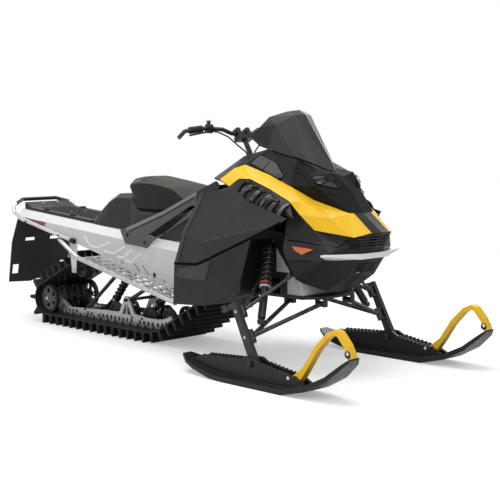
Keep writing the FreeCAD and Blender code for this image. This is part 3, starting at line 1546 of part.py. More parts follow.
def headlamps():
    """Two lamp units in the recess under the brow."""
    return separate([lamp_block(0), mirrored(lamp_block(0))])


feature("headlamps", headlamps())


SHIELD_THICKNESS = 4.0


def on_hood(name):
    """A foot of the screen, standing one clearance off the hood's corner."""
    corner = Vector(*BODY[name])
    return tuple(corner - inward(corner) * (SHIELD_THICKNESS + size["seat_gap"]))


SHIELD = {
    "base_rear": on_hood("shield_rear"), "base_mid": on_hood("shield_mid"),
    "base_low": on_hood("shield_low"), "base_tip": on_hood("shield_tip"),
    "wing_low": (700, -165, 1118), "wing": (672, -195, 1160), "wing_2": (715, -180, 1206),
    "corner": (752, -140, 1258), "rim": (800, -72, 1285), "rim_mid": (818, 0, 1294),
    "brow": (842, -62, 1268), "brow_mid": (862, 0, 1272), "fold": (790, -138, 1222),
}

SHIELD_FACES = [
    ("wing", "wing_2", "base_rear", "wing_low"),
    ("wing_2", "corner", "fold"),
    ("wing_2", "fold", "base_rear"),
    ("fold", "base_mid", "base_rear"),
    ("corner", "rim", "brow", "fold"),
    ("rim", "rim_mid", "brow_mid", "brow"),
    ("fold", "brow", "base_low", "base_mid"),
    ("brow", "brow_mid", "base_tip", "base_low"),
]


def windshield():
    whole, whole_faces = both_halves(SHIELD, SHIELD_FACES)
    return shell_panel(whole, whole_faces, SHIELD_THICKNESS, 0.0)


feature("windshield", windshield())


MARKER_OUTLINE = ((1021.0, 636.0), (1159.0, 628.0), (1084.0, 598.0), (1038.0, 616.0))
MARKER_DEPTH = (-266.0, -250.0)


def side_markers():
    """Lenses let into the nose, wider above than below."""
    marker = outer_solid(side_prism(MARKER_OUTLINE, *MARKER_DEPTH), belly)
    return separate([marker, mirrored(marker)])


feature("side_markers", side_markers())


# Checks, then one file for each sub-part.
doc.recompute()
for item in doc.Objects:
    if "Invalid" in item.State or "Error" in item.State:
        raise RuntimeError(f"{item.Label} is not built: {item.State}")
os.makedirs("parts", exist_ok=True)
for item in sub_parts:
    shape = item.Shape
    if shape.isNull() or not shape.isValid():
        raise RuntimeError(f"{item.Label} has no valid shape")
    shape.exportStep(f"parts/{item.Label}.step")
print("loop length", round(loop_length(size["belt_thickness"] / 2), 1), "sub-parts", len(sub_parts))
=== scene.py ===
"""Looks of the snowmobile: finishes, soft seat, fine detail, studio light and camera.

Metres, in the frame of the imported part: +X forward, +Y to the rider's left, +Z up.
"""

import json
import math

import bpy
from mathutils import Matrix, Vector


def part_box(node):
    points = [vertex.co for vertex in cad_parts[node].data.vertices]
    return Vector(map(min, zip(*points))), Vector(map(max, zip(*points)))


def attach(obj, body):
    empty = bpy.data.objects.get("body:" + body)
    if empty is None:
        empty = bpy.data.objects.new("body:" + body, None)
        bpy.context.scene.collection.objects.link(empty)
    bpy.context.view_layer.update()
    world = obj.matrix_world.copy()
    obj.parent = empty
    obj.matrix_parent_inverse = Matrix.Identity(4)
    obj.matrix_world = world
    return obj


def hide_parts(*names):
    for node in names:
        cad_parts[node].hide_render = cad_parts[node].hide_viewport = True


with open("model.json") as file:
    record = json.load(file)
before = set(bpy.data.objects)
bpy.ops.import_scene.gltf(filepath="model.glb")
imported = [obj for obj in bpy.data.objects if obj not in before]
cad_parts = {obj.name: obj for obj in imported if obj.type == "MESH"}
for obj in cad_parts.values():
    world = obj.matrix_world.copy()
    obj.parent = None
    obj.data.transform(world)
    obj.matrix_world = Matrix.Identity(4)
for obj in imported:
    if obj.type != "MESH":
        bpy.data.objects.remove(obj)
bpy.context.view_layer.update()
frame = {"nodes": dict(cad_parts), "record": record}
bodies_of = {node: body for body, nodes in frame["record"]["behaviour"]["bodies"].items() for node in nodes}


# Camera.  The photograph was taken from about five metres in front of the machine and to its
# right, a little above its hood, with a lens long enough to keep the skis' edges straight.
CAMERA_PLACE = Vector((4.698, -4.043, 1.132))
CAMERA_YAW = math.radians(136.41)
CAMERA_PITCH = math.radians(-5.56)
CAMERA_ROLL = math.radians(-0.55)
CAMERA_LENS = 79.4

ahead = Vector((math.cos(CAMERA_YAW) * math.cos(CAMERA_PITCH),
                math.sin(CAMERA_YAW) * math.cos(CAMERA_PITCH), math.sin(CAMERA_PITCH)))
level_right = ahead.cross(Vector((0, 0, 1))).normalized()
level_up = level_right.cross(ahead)
camera_right = level_right * math.cos(CAMERA_ROLL) + level_up * math.sin(CAMERA_ROLL)
camera_up = level_up * math.cos(CAMERA_ROLL) - level_right * math.sin(CAMERA_ROLL)
camera_data = bpy.data.cameras.new("studio_camera")
camera_data.lens = CAMERA_LENS
camera_data.sensor_width = 36
camera_data.clip_end = 100
camera = bpy.data.objects.new("studio_camera", camera_data)
bpy.context.scene.collection.objects.link(camera)
turn = Matrix((camera_right, camera_up, -ahead)).transposed()
camera.matrix_world = Matrix.Translation(CAMERA_PLACE) @ turn.to_4x4()
bpy.context.scene.camera = camera


# Studio floor and light.  A pale floor that fades out into a white background, with large soft
# lamps above, in front and behind; the floor keeps a soft shadow.
FLOOR_HALF = 9.0
FLOOR_FADE = (2.6, 5.2)
FLOOR_LIFT = 0.33
LAMPS = {
    "overhead": ((0.2, -0.4, 4.6), (0.0, 0.0, 0.0), 4.6, 150),
    "front_key": ((4.4, -2.6, 3.2), (0.4, 0.0, 0.5), 3.0, 70),
    "side_fill": ((-0.8, -5.2, 2.2), (-0.2, 0.0, 0.5), 3.4, 62),
    "far_rim": ((-1.2, 4.8, 3.0), (0.0, 0.0, 0.6), 3.0, 62),
    "rear_fill": ((-5.0, 0.6, 2.4), (-0.6, 0.0, 0.5), 2.6, 42),
}


def started(primitive, **values):
    """A new primitive, alone in the selection."""
    bpy.ops.object.select_all(action="DESELECT")
    primitive(**values)
    return bpy.context.active_object


bpy.context.scene.view_settings.view_transform = "Standard"
floor = started(bpy.ops.mesh.primitive_plane_add, size=2 * FLOOR_HALF)
floor.name = "studio_floor"
floor_look = bpy.data.materials.new("studio_sweep")
floor_look.use_nodes = True
floor_nodes = floor_look.node_tree.nodes
floor_links = floor_look.node_tree.links
floor_nodes.remove(floor_nodes["Principled BSDF"])
paint = floor_nodes.new("ShaderNodeBsdfDiffuse")
paint.inputs["Color"].default_value = (0.80, 0.80, 0.80, 1)
glow = floor_nodes.new("ShaderNodeEmission")
seen = floor_nodes.new("ShaderNodeLightPath")
share = floor_nodes.new("ShaderNodeMath")
share.operation = "MULTIPLY"
share.inputs[1].default_value = FLOOR_LIFT
both = floor_nodes.new("ShaderNodeAddShader")
beyond = floor_nodes.new("ShaderNodeBsdfTransparent")
fade = floor_nodes.new("ShaderNodeMixShader")
floor_place = floor_nodes.new("ShaderNodeTexCoord")
floor_reach = floor_nodes.new("ShaderNodeVectorMath")
floor_reach.operation = "LENGTH"
floor_edge = floor_nodes.new("ShaderNodeMapRange")
floor_edge.interpolation_type = "SMOOTHSTEP"
floor_edge.inputs["From Min"].default_value = FLOOR_FADE[0]
floor_edge.inputs["From Max"].default_value = FLOOR_FADE[1]
floor_links.new(floor_place.outputs["Object"], floor_reach.inputs[0])
floor_links.new(floor_reach.outputs["Value"], floor_edge.inputs["Value"])
floor_links.new(seen.outputs["Is Camera Ray"], share.inputs[0])
floor_links.new(share.outputs[0], glow.inputs["Strength"])
floor_links.new(paint.outputs[0], both.inputs[0])
floor_links.new(glow.outputs[0], both.inputs[1])
floor_links.new(floor_edge.outputs["Result"], fade.inputs["Fac"])
floor_links.new(both.outputs[0], fade.inputs[1])
floor_links.new(beyond.outputs[0], fade.inputs[2])
floor_links.new(fade.outputs[0], floor_nodes["Material Output"].inputs["Surface"])
floor.data.materials.append(floor_look)

for lamp_name, (place, aim, width, power) in LAMPS.items():
    lamp_data = bpy.data.lights.new(lamp_name, "AREA")
    lamp_data.shape = "DISK"
    lamp_data.size = width
    lamp_data.energy = power
    lamp = bpy.data.objects.new(lamp_name, lamp_data)
    bpy.context.scene.collection.objects.link(lamp)
    lamp.location = place
    lamp.rotation_euler = (Vector(aim) - Vector(place)).to_track_quat("-Z", "Y").to_euler()

world = bpy.data.worlds.new("white_studio")
bpy.context.scene.world = world
world.use_nodes = True
sky = world.node_tree.nodes["Background"]
sky_path = world.node_tree.nodes.new("ShaderNodeLightPath")
sky_seen = world.node_tree.nodes.new("ShaderNodeMath")
sky_seen.operation = "MAXIMUM"
sky_gloss = world.node_tree.nodes.new("ShaderNodeMath")
sky_gloss.operation = "MULTIPLY"
sky_gloss.inputs[1].default_value = 0.55
sky_both = world.node_tree.nodes.new("ShaderNodeMath")
sky_both.operation = "MAXIMUM"
sky_level = world.node_tree.nodes.new("ShaderNodeMapRange")
sky_level.inputs["To Min"].default_value = 0.34
sky_level.inputs["To Max"].default_value = 1.0
world.node_tree.links.new(sky_path.outputs["Is Camera Ray"], sky_seen.inputs[0])
world.node_tree.links.new(sky_path.outputs["Is Transmission Ray"], sky_seen.inputs[1])
world.node_tree.links.new(sky_path.outputs["Is Glossy Ray"], sky_gloss.inputs[0])
world.node_tree.links.new(sky_seen.outputs[0], sky_both.inputs[0])
world.node_tree.links.new(sky_gloss.outputs[0], sky_both.inputs[1])
world.node_tree.links.new(sky_both.outputs[0], sky_level.inputs["Value"])
world.node_tree.links.new(sky_level.outputs["Result"], sky.inputs["Strength"])
sky.inputs["Color"].default_value = (1, 1, 1, 1)


# Tunnel.  A folded aluminium sheet over the track: white bevelled shoulders, pale grey sides
# whose grey is partly painted shade, pressed ribs in a lighter colour that is a painted highlight,
# black beads of painted shade in its pressed grooves, a rubber plug and a red reflector.  It carries
# the deck, the tank, the boards and the braces.
def pick(piece):
    """Selects one piece alone and makes it active."""
    bpy.ops.object.select_all(action="DESELECT")
    piece.select_set(True)
    bpy.context.view_layer.objects.active = piece


def fresh_copy(mesh, name):
    """A new object with its own copy of a mesh."""
    made = bpy.data.objects.new(name, mesh.copy())
    bpy.context.scene.collection.objects.link(made)
    return made


def select_edges(piece, wanted):
    """In edit mode, selects the edges that the test picks by their dihedral angle and ends."""
    bpy.ops.object.mode_set(mode="OBJECT")
    mesh = piece.data
    normals = {}
    for polygon in mesh.polygons:
        for key in polygon.edge_keys:
            normals.setdefault(key, []).append(polygon.normal)
    for polygon in mesh.polygons:
        polygon.select = False
    for vertex in mesh.vertices:
        vertex.select = False
    count = 0
    for edge in mesh.edges:
        sides = normals.get(edge.key, [])
        angle = math.degrees(sides[0].angle(sides[1], 0)) if len(sides) == 2 else 180.0
        ends = [mesh.vertices[i].co for i in edge.vertices]
        edge.select = wanted(angle, ends[0], ends[1])
        count += edge.select
    bpy.ops.object.mode_set(mode="EDIT")
    return count


def clean_copy(node, name):
    """A merged copy of a CAD node's mesh with its flat faces whole, ready to be worked on."""
    piece = fresh_copy(frame["nodes"][node].data, name)
    pick(piece)
    piece.data.materials.clear()
    bpy.ops.object.mode_set(mode="EDIT")
    bpy.ops.mesh.select_mode(type="EDGE")
    bpy.ops.mesh.select_all(action="SELECT")
    bpy.ops.mesh.remove_doubles(threshold=0.00002)
    bpy.ops.mesh.dissolve_limited(angle_limit=math.radians(0.6))
    bpy.ops.object.mode_set(mode="OBJECT")
    return piece


def round_edges(piece, width, low=36, high=181, segments=2):
    """Bevels the edges whose faces turn by low to high degrees."""
    pick(piece)
    if select_edges(piece, lambda angle, a, b: low < angle < high):
        bpy.ops.mesh.bevel(offset=width, offset_type="OFFSET", segments=segments, affect="EDGES",
                           clamp_overlap=True)
    bpy.ops.object.mode_set(mode="OBJECT")


def mark_rubbed(piece, width=0.0017):
    """Marks the narrow faces of bevels and rims, where hands and ice rub a surface first."""
    rubbed = piece.data.attributes.new("rubbed", "FLOAT", "FACE")
    places = [vertex.co for vertex in piece.data.vertices]
    for polygon in piece.data.polygons:
        reach = max((places[a] - places[b]).length for a, b in polygon.edge_keys)
        rubbed.data[polygon.index].value = 1.0 if polygon.area < width * reach else 0.0


def settle(piece, look, node=None, body="root", smooth=32):
    """Shades a finished piece, gives it its finish and fixes it to the body that carries it."""
    mark_rubbed(piece)
    pick(piece)
    bpy.ops.object.transform_apply(location=True, rotation=True, scale=True)
    bpy.ops.object.shade_smooth_by_angle(angle=math.radians(smooth))
    level = piece.modifiers.new("flat_faces", "WEIGHTED_NORMAL")
    level.keep_sharp = True
    bpy.ops.object.modifier_apply(modifier=level.name)
    piece.data.materials.clear()
    piece.data.materials.append(look)
    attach(piece, bodies_of[node] if node else body)
    if node:
        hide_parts(node)
    return piece


def group(name, inputs, outputs):
    """An empty node group with float, colour or vector sockets."""
    made = bpy.data.node_groups.new(name, "ShaderNodeTree")
    kinds = {"value": "NodeSocketFloat", "colour": "NodeSocketColor", "vector": "NodeSocketVector"}
    for label, (kind, default) in inputs.items():
        socket = made.interface.new_socket(label, in_out="INPUT", socket_type=kinds[kind])
        socket.default_value = default
    for label, kind in outputs.items():
        made.interface.new_socket(label, in_out="OUTPUT", socket_type=kinds[kind])
    enter = made.nodes.new("NodeGroupInput")
    leave = made.nodes.new("NodeGroupOutput")
    return made, enter, leave


def node_in(tree, kind, **values):
    """A node whose sockets are set by name and whose properties are set by attribute."""
    made = tree.nodes.new(kind)
    for key, value in values.items():
        label = key.replace("_", " ")
        if label in made.inputs:
            made.inputs[label].default_value = value
        else:
            setattr(made, key, value)
    return made


def map_range(tree, source, low, high, to_low=0.0, to_high=1.0):
    """A value remapped from one range to another, clamped at both ends."""
    made = node_in(tree, "ShaderNodeMapRange", From_Min=low, From_Max=high, To_Min=to_low, To_Max=to_high)
    tree.links.new(source, made.inputs["Value"])
    return made.outputs["Result"]


def product(tree, first, second):
    """Two values multiplied; the second may be a plain number."""
    made = node_in(tree, "ShaderNodeMath", operation="MULTIPLY")
    tree.links.new(first, made.inputs[0])
    if isinstance(second, float):
        made.inputs[1].default_value = second
    else:
        tree.links.new(second, made.inputs[1])
    return made.outputs[0]


def object_place(tree):
    """The point in the piece's own frame, split into X, Y and Z."""
    place = tree.nodes.new("ShaderNodeTexCoord")
    split = tree.nodes.new("ShaderNodeSeparateXYZ")
    tree.links.new(place.outputs["Object"], split.inputs["Vector"])
    return place, split


def object_facing(tree):
    """The surface's direction in the piece's own frame, split into X, Y and Z."""
    place = tree.nodes.new("ShaderNodeTexCoord")
    split = tree.nodes.new("ShaderNodeSeparateXYZ")
    tree.links.new(place.outputs["Normal"], split.inputs["Vector"])
    return split


def magnitude(tree, source):
    """A value without its sign, so that both sides of the machine look the same."""
    made = node_in(tree, "ShaderNodeMath", operation="ABSOLUTE")
    tree.links.new(source, made.inputs[0])
    return made.outputs[0]


def build_grain():
    """Fine leathery grain of a moulded or cast surface: an uneven height and a gloss variation."""
    made, enter, leave = group("surface_grain", {"Scale": ("value", 900.0), "Depth": ("value", 0.2)},
                               {"Normal": "vector", "Variation": "value"})
    place = made.nodes.new("ShaderNodeTexCoord")
    cells = node_in(made, "ShaderNodeTexVoronoi", Randomness=1.0)
    noise = node_in(made, "ShaderNodeTexNoise", Scale=14.0, Detail=4.0, Roughness=0.6)
    made.links.new(place.outputs["Object"], cells.inputs["Vector"])
    made.links.new(enter.outputs["Scale"], cells.inputs["Scale"])
    made.links.new(place.outputs["Object"], noise.inputs["Vector"])
    bump = node_in(made, "ShaderNodeBump", Distance=0.0004)
    made.links.new(cells.outputs["Distance"], bump.inputs["Height"])
    made.links.new(enter.outputs["Depth"], bump.inputs["Strength"])
    made.links.new(bump.outputs["Normal"], leave.inputs["Normal"])
    made.links.new(noise.outputs["Fac"], leave.inputs["Variation"])
    return made


def build_wear():
    """Rubbed outer edges, broken up by a noise so that the wear is uneven."""
    made, enter, leave = group("edge_wear", {"Amount": ("value", 0.5), "Breakup": ("value", 60.0)},
                               {"Mask": "value"})
    edge = node_in(made, "ShaderNodeAttribute", attribute_name="rubbed")
    place = made.nodes.new("ShaderNodeTexCoord")
    noise = node_in(made, "ShaderNodeTexNoise", Detail=5.0, Roughness=0.7)
    made.links.new(place.outputs["Object"], noise.inputs["Vector"])
    made.links.new(enter.outputs["Breakup"], noise.inputs["Scale"])
    patchy = map_range(made, noise.outputs["Fac"], 0.42, 0.62)
    mask = product(made, product(made, edge.outputs["Fac"], patchy), enter.outputs["Amount"])
    made.links.new(mask, leave.inputs["Mask"])
    return made


def build_dust():
    """Dry dust that settles on faces that look up, thicker in soft patches."""
    made, enter, leave = group("settled_dust", {"Amount": ("value", 0.2), "Patches": ("value", 5.0)},
                               {"Mask": "value"})
    place = made.nodes.new("ShaderNodeTexCoord")
    split = object_facing(made)
    noise = node_in(made, "ShaderNodeTexNoise", Detail=6.0, Roughness=0.6)
    made.links.new(place.outputs["Object"], noise.inputs["Vector"])
    made.links.new(enter.outputs["Patches"], noise.inputs["Scale"])
    upward = map_range(made, split.outputs["Z"], 0.2, 1.0)
    patchy = map_range(made, noise.outputs["Fac"], 0.35, 0.75)
    mask = product(made, product(made, upward, patchy), enter.outputs["Amount"])
    made.links.new(mask, leave.inputs["Mask"])
    return made


surface_grain = build_grain()
edge_wear = build_wear()
settled_dust = build_dust()


def place_group(tree, made, **values):
    """One of the shared groups, placed in a material with its own values."""
    used = tree.nodes.new("ShaderNodeGroup")
    used.node_tree = made
    for label, value in values.items():
        used.inputs[label].default_value = value
    return used


def mix_colour(tree, mask, first, second):
    """A colour mix; first and second are sockets or RGB triples."""
    made = tree.nodes.new("ShaderNodeMix")
    made.data_type = "RGBA"
    tree.links.new(mask, made.inputs[0])
    for index, source in ((6, first), (7, second)):
        if isinstance(source, tuple):
            made.inputs[index].default_value = (*source, 1)
        else:
            tree.links.new(source, made.inputs[index])
    return made.outputs[2]


def finish(name, colour, roughness, worn=None, wear=0.4, dust=0.10, grain=(900.0, 0.2), metallic=0.0,
           coat=0.0, varied=0.12, dust_colour=(0.30, 0.29, 0.27), paint=None, specular=0.5):
    """A surface with grain, edge wear and dust.  paint adds its own colours before the wear."""
    look = bpy.data.materials.new(name)
    look.use_nodes = True
    tree = look.node_tree
    shader = tree.nodes["Principled BSDF"]
    grained = place_group(tree, surface_grain, Scale=grain[0], Depth=grain[1])
    worn_edge = place_group(tree, edge_wear, Amount=wear)
    dusty = place_group(tree, settled_dust, Amount=dust)
    variation = grained.outputs["Variation"]
    shade = tuple(channel * (1 - varied) for channel in colour)
    tint = tuple(min(1.0, channel * (1 + varied)) for channel in colour)
    base = mix_colour(tree, map_range(tree, variation, 0.3, 0.7), shade, tint)
    if paint:
        base = paint(tree, base)
    bright = worn or tuple(min(1.0, channel * 2.2 + 0.03) for channel in colour)
    base = mix_colour(tree, worn_edge.outputs["Mask"], base, bright)
    base = mix_colour(tree, dusty.outputs["Mask"], base, dust_colour)
    tree.links.new(base, shader.inputs["Base Color"])
    gloss = map_range(tree, variation, 0.3, 0.7, roughness * 0.85, min(1.0, roughness * 1.15))
    tree.links.new(gloss, shader.inputs["Roughness"])
    tree.links.new(grained.outputs["Normal"], shader.inputs["Normal"])
    shader.inputs["Metallic"].default_value = metallic
    shader.inputs["Coat Weight"].default_value = coat
    shader.inputs["Coat Roughness"].default_value = 0.12
    shader.inputs["Specular IOR Level"].default_value = specular
    return look


def cut_sheet(name, corners):
    """One face on the given corners."""
    made = started(bpy.ops.mesh.primitive_circle_add, vertices=len(corners), radius=0.01, fill_type="NGON")
    made.name = name
    for vertex, corner in zip(made.data.vertices, corners):
        vertex.co = corner
    made.data.update()
    return made


def plate(name, corners, thickness, edge=0.0006):
    """A flat plate on the given corners, raised along their normal, with softened edges."""
    made = cut_sheet(name, corners)
    rise = made.data.polygons[0].normal * thickness
    bpy.ops.object.mode_set(mode="EDIT")
    bpy.ops.mesh.select_all(action="SELECT")
    bpy.ops.mesh.extrude_region_move(TRANSFORM_OT_translate={"value": rise})
    bpy.ops.mesh.select_all(action="SELECT")
    bpy.ops.mesh.normals_make_consistent(inside=False)
    bpy.ops.object.mode_set(mode="OBJECT")
    if edge:
        round_edges(made, edge, low=40)
    return made


def tube(name, points, radius, closed=False, straight=False, around=2):
    """A round bar along the points, as a mesh."""
    curve = bpy.data.curves.new(name, "CURVE")
    curve.dimensions = "3D"
    curve.bevel_depth = radius
    curve.bevel_resolution = around
    curve.use_fill_caps = True
    line = curve.splines.new("POLY" if straight else "NURBS")
    line.points.add(len(points) - 1)
    for point, place in zip(line.points, points):
        point.co = (*place, 1)
    line.use_cyclic_u = closed
    if not straight:
        line.order_u = 3
        line.use_endpoint_u = not closed
        line.resolution_u = 6
    made = bpy.data.objects.new(name, curve)
    bpy.context.scene.collection.objects.link(made)
    pick(made)
    bpy.ops.object.convert(target="MESH")
    return bpy.context.active_object


def join(pieces, name):
    """Several meshes made into one piece."""
    bpy.ops.object.select_all(action="DESELECT")
    for piece in pieces:
        piece.select_set(True)
    bpy.context.view_layer.objects.active = pieces[0]
    bpy.ops.object.join()
    pieces[0].name = name
    return pieces[0]


def place_copies(name, master, places):
    """Copies of a small master mesh, its Z axis along each direction, joined into one piece."""
    copies = []
    for place, direction in places:
        made = fresh_copy(master.data, name)
        lean = Vector(direction).to_track_quat("Z", "Y").to_matrix().to_4x4()
        made.data.transform(Matrix.Translation(place) @ lean)
        copies.append(made)
    return join(copies, name)


def hex_bolt(radius):
    """A hexagon head on a washer, standing on the origin."""
    washer = started(bpy.ops.mesh.primitive_cylinder_add, vertices=20, radius=radius * 1.35,
                     depth=radius * 0.24,
                     location=(0, 0, radius * 0.08))
    head = started(bpy.ops.mesh.primitive_cylinder_add, vertices=6, radius=radius, depth=radius * 0.62,
                   location=(0, 0, radius * 0.48))
    for part in (washer, head):
        pick(part)
        bpy.ops.object.transform_apply(location=True, rotation=True, scale=True)
        round_edges(part, radius * 0.08, low=50, segments=1)
    return join([washer, head], "bolt_master")


def mirror_copy(piece, name):
    """The same piece on the other side of the middle plane."""
    made = fresh_copy(piece.data, name)
    made.data.transform(Matrix.Scale(-1, 4, Vector((0, 1, 0))))
    made.data.flip_normals()
    return made


def settle_pair(piece, look, label, smooth=32):
    """Settles a right-hand piece and its mirror image."""
    settle(mirror_copy(piece, label + "_left"), look, smooth=smooth)
    piece.name = label + "_right"
    settle(piece, look, smooth=smooth)


def on_sides(places, reach):
    """Places and outward directions on both sides of the machine, at a distance from its middle."""
    return [((x, side * reach, z), (0, side, 0)) for side in (-1, 1) for x, z in places]


HAIR_GAP = 0.0001
TUNNEL_HALF = 0.220
SHOULDER_DROP = 0.042
TUNNEL_WHITE = (0.74, 0.74, 0.735)
# The sides' grey is partly painted shade: they are darker than the white top because they face away from
# the overhead light.
TUNNEL_SHADED_GREY = (0.56, 0.56, 0.57)
PRESSED_RIBS = ( ((-0.755, 0.588), (-0.705, 0.530), (-0.618, 0.524), (-0.505, 0.560)), ((-0.560, 0.506),
                                                                                        (-0.466, 0.497),
                                                                                        (-0.357, 0.546)),
                ((-0.434, 0.482), (-0.378, 0.479), (-0.288, 0.533)), ((-0.357, 0.465), (-0.306, 0.457),
                                                                      (-0.213, 0.514)), )
PRESSED_GROOVES = (((-0.395, 0.459), (-0.352, 0.420), (-0.255, 0.392)), ((-0.270, 0.452), (-0.190, 0.385)),
                   ((-0.200, 0.448), (-0.115, 0.372)), ((-0.020, 0.385), (0.025, 0.348)))
SHOULDER_STAMPS = ((-1.345, -1.245), (-1.175, -1.060), (-1.000, -0.880))
TUNNEL_BOLTS = ((-1.30, 0.628), (-1.06, 0.588), (-0.52, 0.462), (-0.16, 0.386), (0.14, 0.338),
                (0.26, 0.310))


def tunnel_top(x):
    """Height of the tunnel's flat top."""
    return 0.719 - 0.158 * (x + 1.5) / 1.93


def white_top_shaded_sides(tree, base):
    """White paint where the sheet faces up; elsewhere the side grey, which is partly painted shade."""
    facing = object_facing(tree)
    return mix_colour(tree, map_range(tree, facing.outputs["Z"], 0.25, 0.35), base, TUNNEL_WHITE)


tunnel_paint = finish("tunnel_paint", TUNNEL_SHADED_GREY, 0.36, worn=(0.72, 0.72, 0.72), wear=0.5, dust=0.05,
                      grain=(900.0, 0.05), coat=0.25, varied=0.05, paint=white_top_shaded_sides)
# The pressed ribs are given a lighter colour than the side as a painted highlight where they catch the
# light.
stamped = finish("pressed_ribs_highlight", (0.76, 0.76, 0.765), 0.34, worn=(0.8, 0.8, 0.8), dust=0.03,
                 grain=(900.0, 0.05),
                 coat=0.25, varied=0.04)
stamped_white = finish("pressed_white", (0.74, 0.74, 0.735), 0.34, dust=0.03, grain=(900.0, 0.05), coat=0.2,
                       varied=0.03)
black = finish("black_moulding", (0.010, 0.010, 0.011), 0.46, grain=(600.0, 0.3), dust=0.03, specular=0.25)
gap_black = finish("shadow_gap", (0.0025, 0.0025, 0.0025), 0.90, wear=0.0, dust=0.0, grain=(600.0, 0.1),
                   specular=0.05)
zinc = finish("zinc_bolts", (0.55, 0.55, 0.56), 0.32, worn=(0.8, 0.8, 0.8), metallic=0.9,
              grain=(900.0, 0.1))
black_bolt = finish("black_bolts", (0.014, 0.014, 0.015), 0.34, worn=(0.20, 0.20, 0.20), grain=(900.0, 0.1),
                    dust=0.02, specular=0.35)


def build_cells():
    """Prismatic cells of a reflector or lamp lens, as a height for its bump."""
    made, enter, leave = group("lens_cells", {"Scale": ("value", 160.0)}, {"Height": "value"})
    place = made.nodes.new("ShaderNodeTexCoord")
    cells = node_in(made, "ShaderNodeTexVoronoi", Randomness=0.0)
    made.links.new(place.outputs["Object"], cells.inputs["Vector"])
    made.links.new(enter.outputs["Scale"], cells.inputs["Scale"])
    made.links.new(cells.outputs["Distance"], leave.inputs["Height"])
    return made


lens_cells = build_cells()


def lens(name, colour, deep, scale=150.0):
    """Coloured clear plastic over prismatic cells."""
    look = bpy.data.materials.new(name)
    look.use_nodes = True
    tree = look.node_tree
    shader = tree.nodes["Principled BSDF"]
    cells = place_group(tree, lens_cells, Scale=scale)
    tone = map_range(tree, cells.outputs["Height"], 0.1, 0.6)
    tree.links.new(mix_colour(tree, tone, colour, deep), shader.inputs["Base Color"])
    bump = node_in(tree, "ShaderNodeBump", Distance=0.0006, Strength=0.5)
    tree.links.new(cells.outputs["Height"], bump.inputs["Height"])
    tree.links.new(bump.outputs["Normal"], shader.inputs["Normal"])
    shader.inputs["Roughness"].default_value = 0.16
    shader.inputs["Coat Weight"].default_value = 0.8
    shader.inputs["Coat Roughness"].default_value = 0.05
    return look


red_lens = lens("red_reflector", (0.42, 0.012, 0.014), (0.16, 0.004, 0.006))

tunnel = clean_copy("tunnel", "tunnel_sheet")
round_edges(tunnel, 0.0022, low=30)
settle(tunnel, tunnel_paint, "tunnel")


def flat_bead(route, radius, share):
    """A bead along a route on the tunnel's side, pressed flat to a share of its height."""
    bead = tube("bead", [(x, 0, z) for x, z in route], radius, straight=True)
    bead.data.transform(Matrix.Translation((0, -TUNNEL_HALF, 0)) @ Matrix.Diagonal((1, share, 1, 1)))
    return bead


ribs = [flat_bead(route, 0.0070, 0.45) for route in PRESSED_RIBS]
settle_pair(join(ribs, "tunnel_ribs"), stamped, "tunnel_ribs")
# Black beads of painted shade along the pressed grooves of the side.
grooves = [flat_bead(route, 0.0028, 0.25) for route in PRESSED_GROOVES]
settle_pair(join(grooves, "tunnel_groove_shade"), black, "tunnel_groove_shade")

shoulder_plates = []
for start, end in SHOULDER_STAMPS:
    corners = []
    for x, share in ((start, 0.30), (end, 0.30), (end - 0.018, 0.72), (start + 0.012, 0.72)):
        drop = SHOULDER_DROP * share
        corners.append((x, -(TUNNEL_HALF - SHOULDER_DROP + drop) - HAIR_GAP,
                        tunnel_top(x) - drop + HAIR_GAP))
    shoulder_plates.append(plate("stamp", list(reversed(corners)), 0.0009, 0.0004))
settle_pair(join(shoulder_plates, "shoulder_stamps"), stamped_white, "shoulder_stamps")

REFLECTOR = ((-1.440, 0.6705), (-1.166, 0.6475), (-1.200, 0.616), (-1.405, 0.6605))
reflector = plate("reflector", [(x, -TUNNEL_HALF - 2 * HAIR_GAP, z) for x, z in reversed(REFLECTOR)],
                  0.003, 0.001)
settle_pair(reflector, red_lens, "side_reflector")

PLUG = (-0.092, 0.403)
PLUG_RADIUS = 0.013
plugs = []
for side in (-1, 1):
    plugs.append(started(bpy.ops.mesh.primitive_uv_sphere_add, segments=24, ring_count=12,
                         radius=PLUG_RADIUS,
                         location=(PLUG[0], side * TUNNEL_HALF, PLUG[1]), scale=(1, 0.35, 1)))
settle(join(plugs, "tunnel_plugs"), black)

small_bolt = hex_bolt(0.006)
tunnel_bolts = on_sides(TUNNEL_BOLTS, TUNNEL_HALF + HAIR_GAP)
settle(place_copies("tunnel_bolts", small_bolt, tunnel_bolts), zinc)


# Running boards.  Bright tubes bent round each foot well, with open cross bars and toothed
# traction strips of bare extrusion welded between them.
BOARD_ENDS = ((-0.577, 0.4795), (0.300, 0.3018))
BOARD_INNER = 0.2203
BOARD_OUTER = 0.395
STRIP_SHARES = (0.26, 0.50, 0.74)
STRIP_TEETH = 62
STRIP_RISE = 0.011
STRIP_FOOT = 0.004
STRIP_MARGIN = 0.012

bare = finish("bare_extrusion", (0.52, 0.525, 0.535), 0.32, worn=(0.80, 0.80, 0.81), metallic=0.75,
              grain=(500.0, 0.10), varied=0.08)
boards = clean_copy("running_boards", "running_board_tubes")
settle(boards, bare, "running_boards", smooth=40)


def board_height(x):
    """Height of a running board's cross bars."""
    (x0, z0), (x1, z1) = BOARD_ENDS
    return z0 + (z1 - z0) * (x - x0) / (x1 - x0)


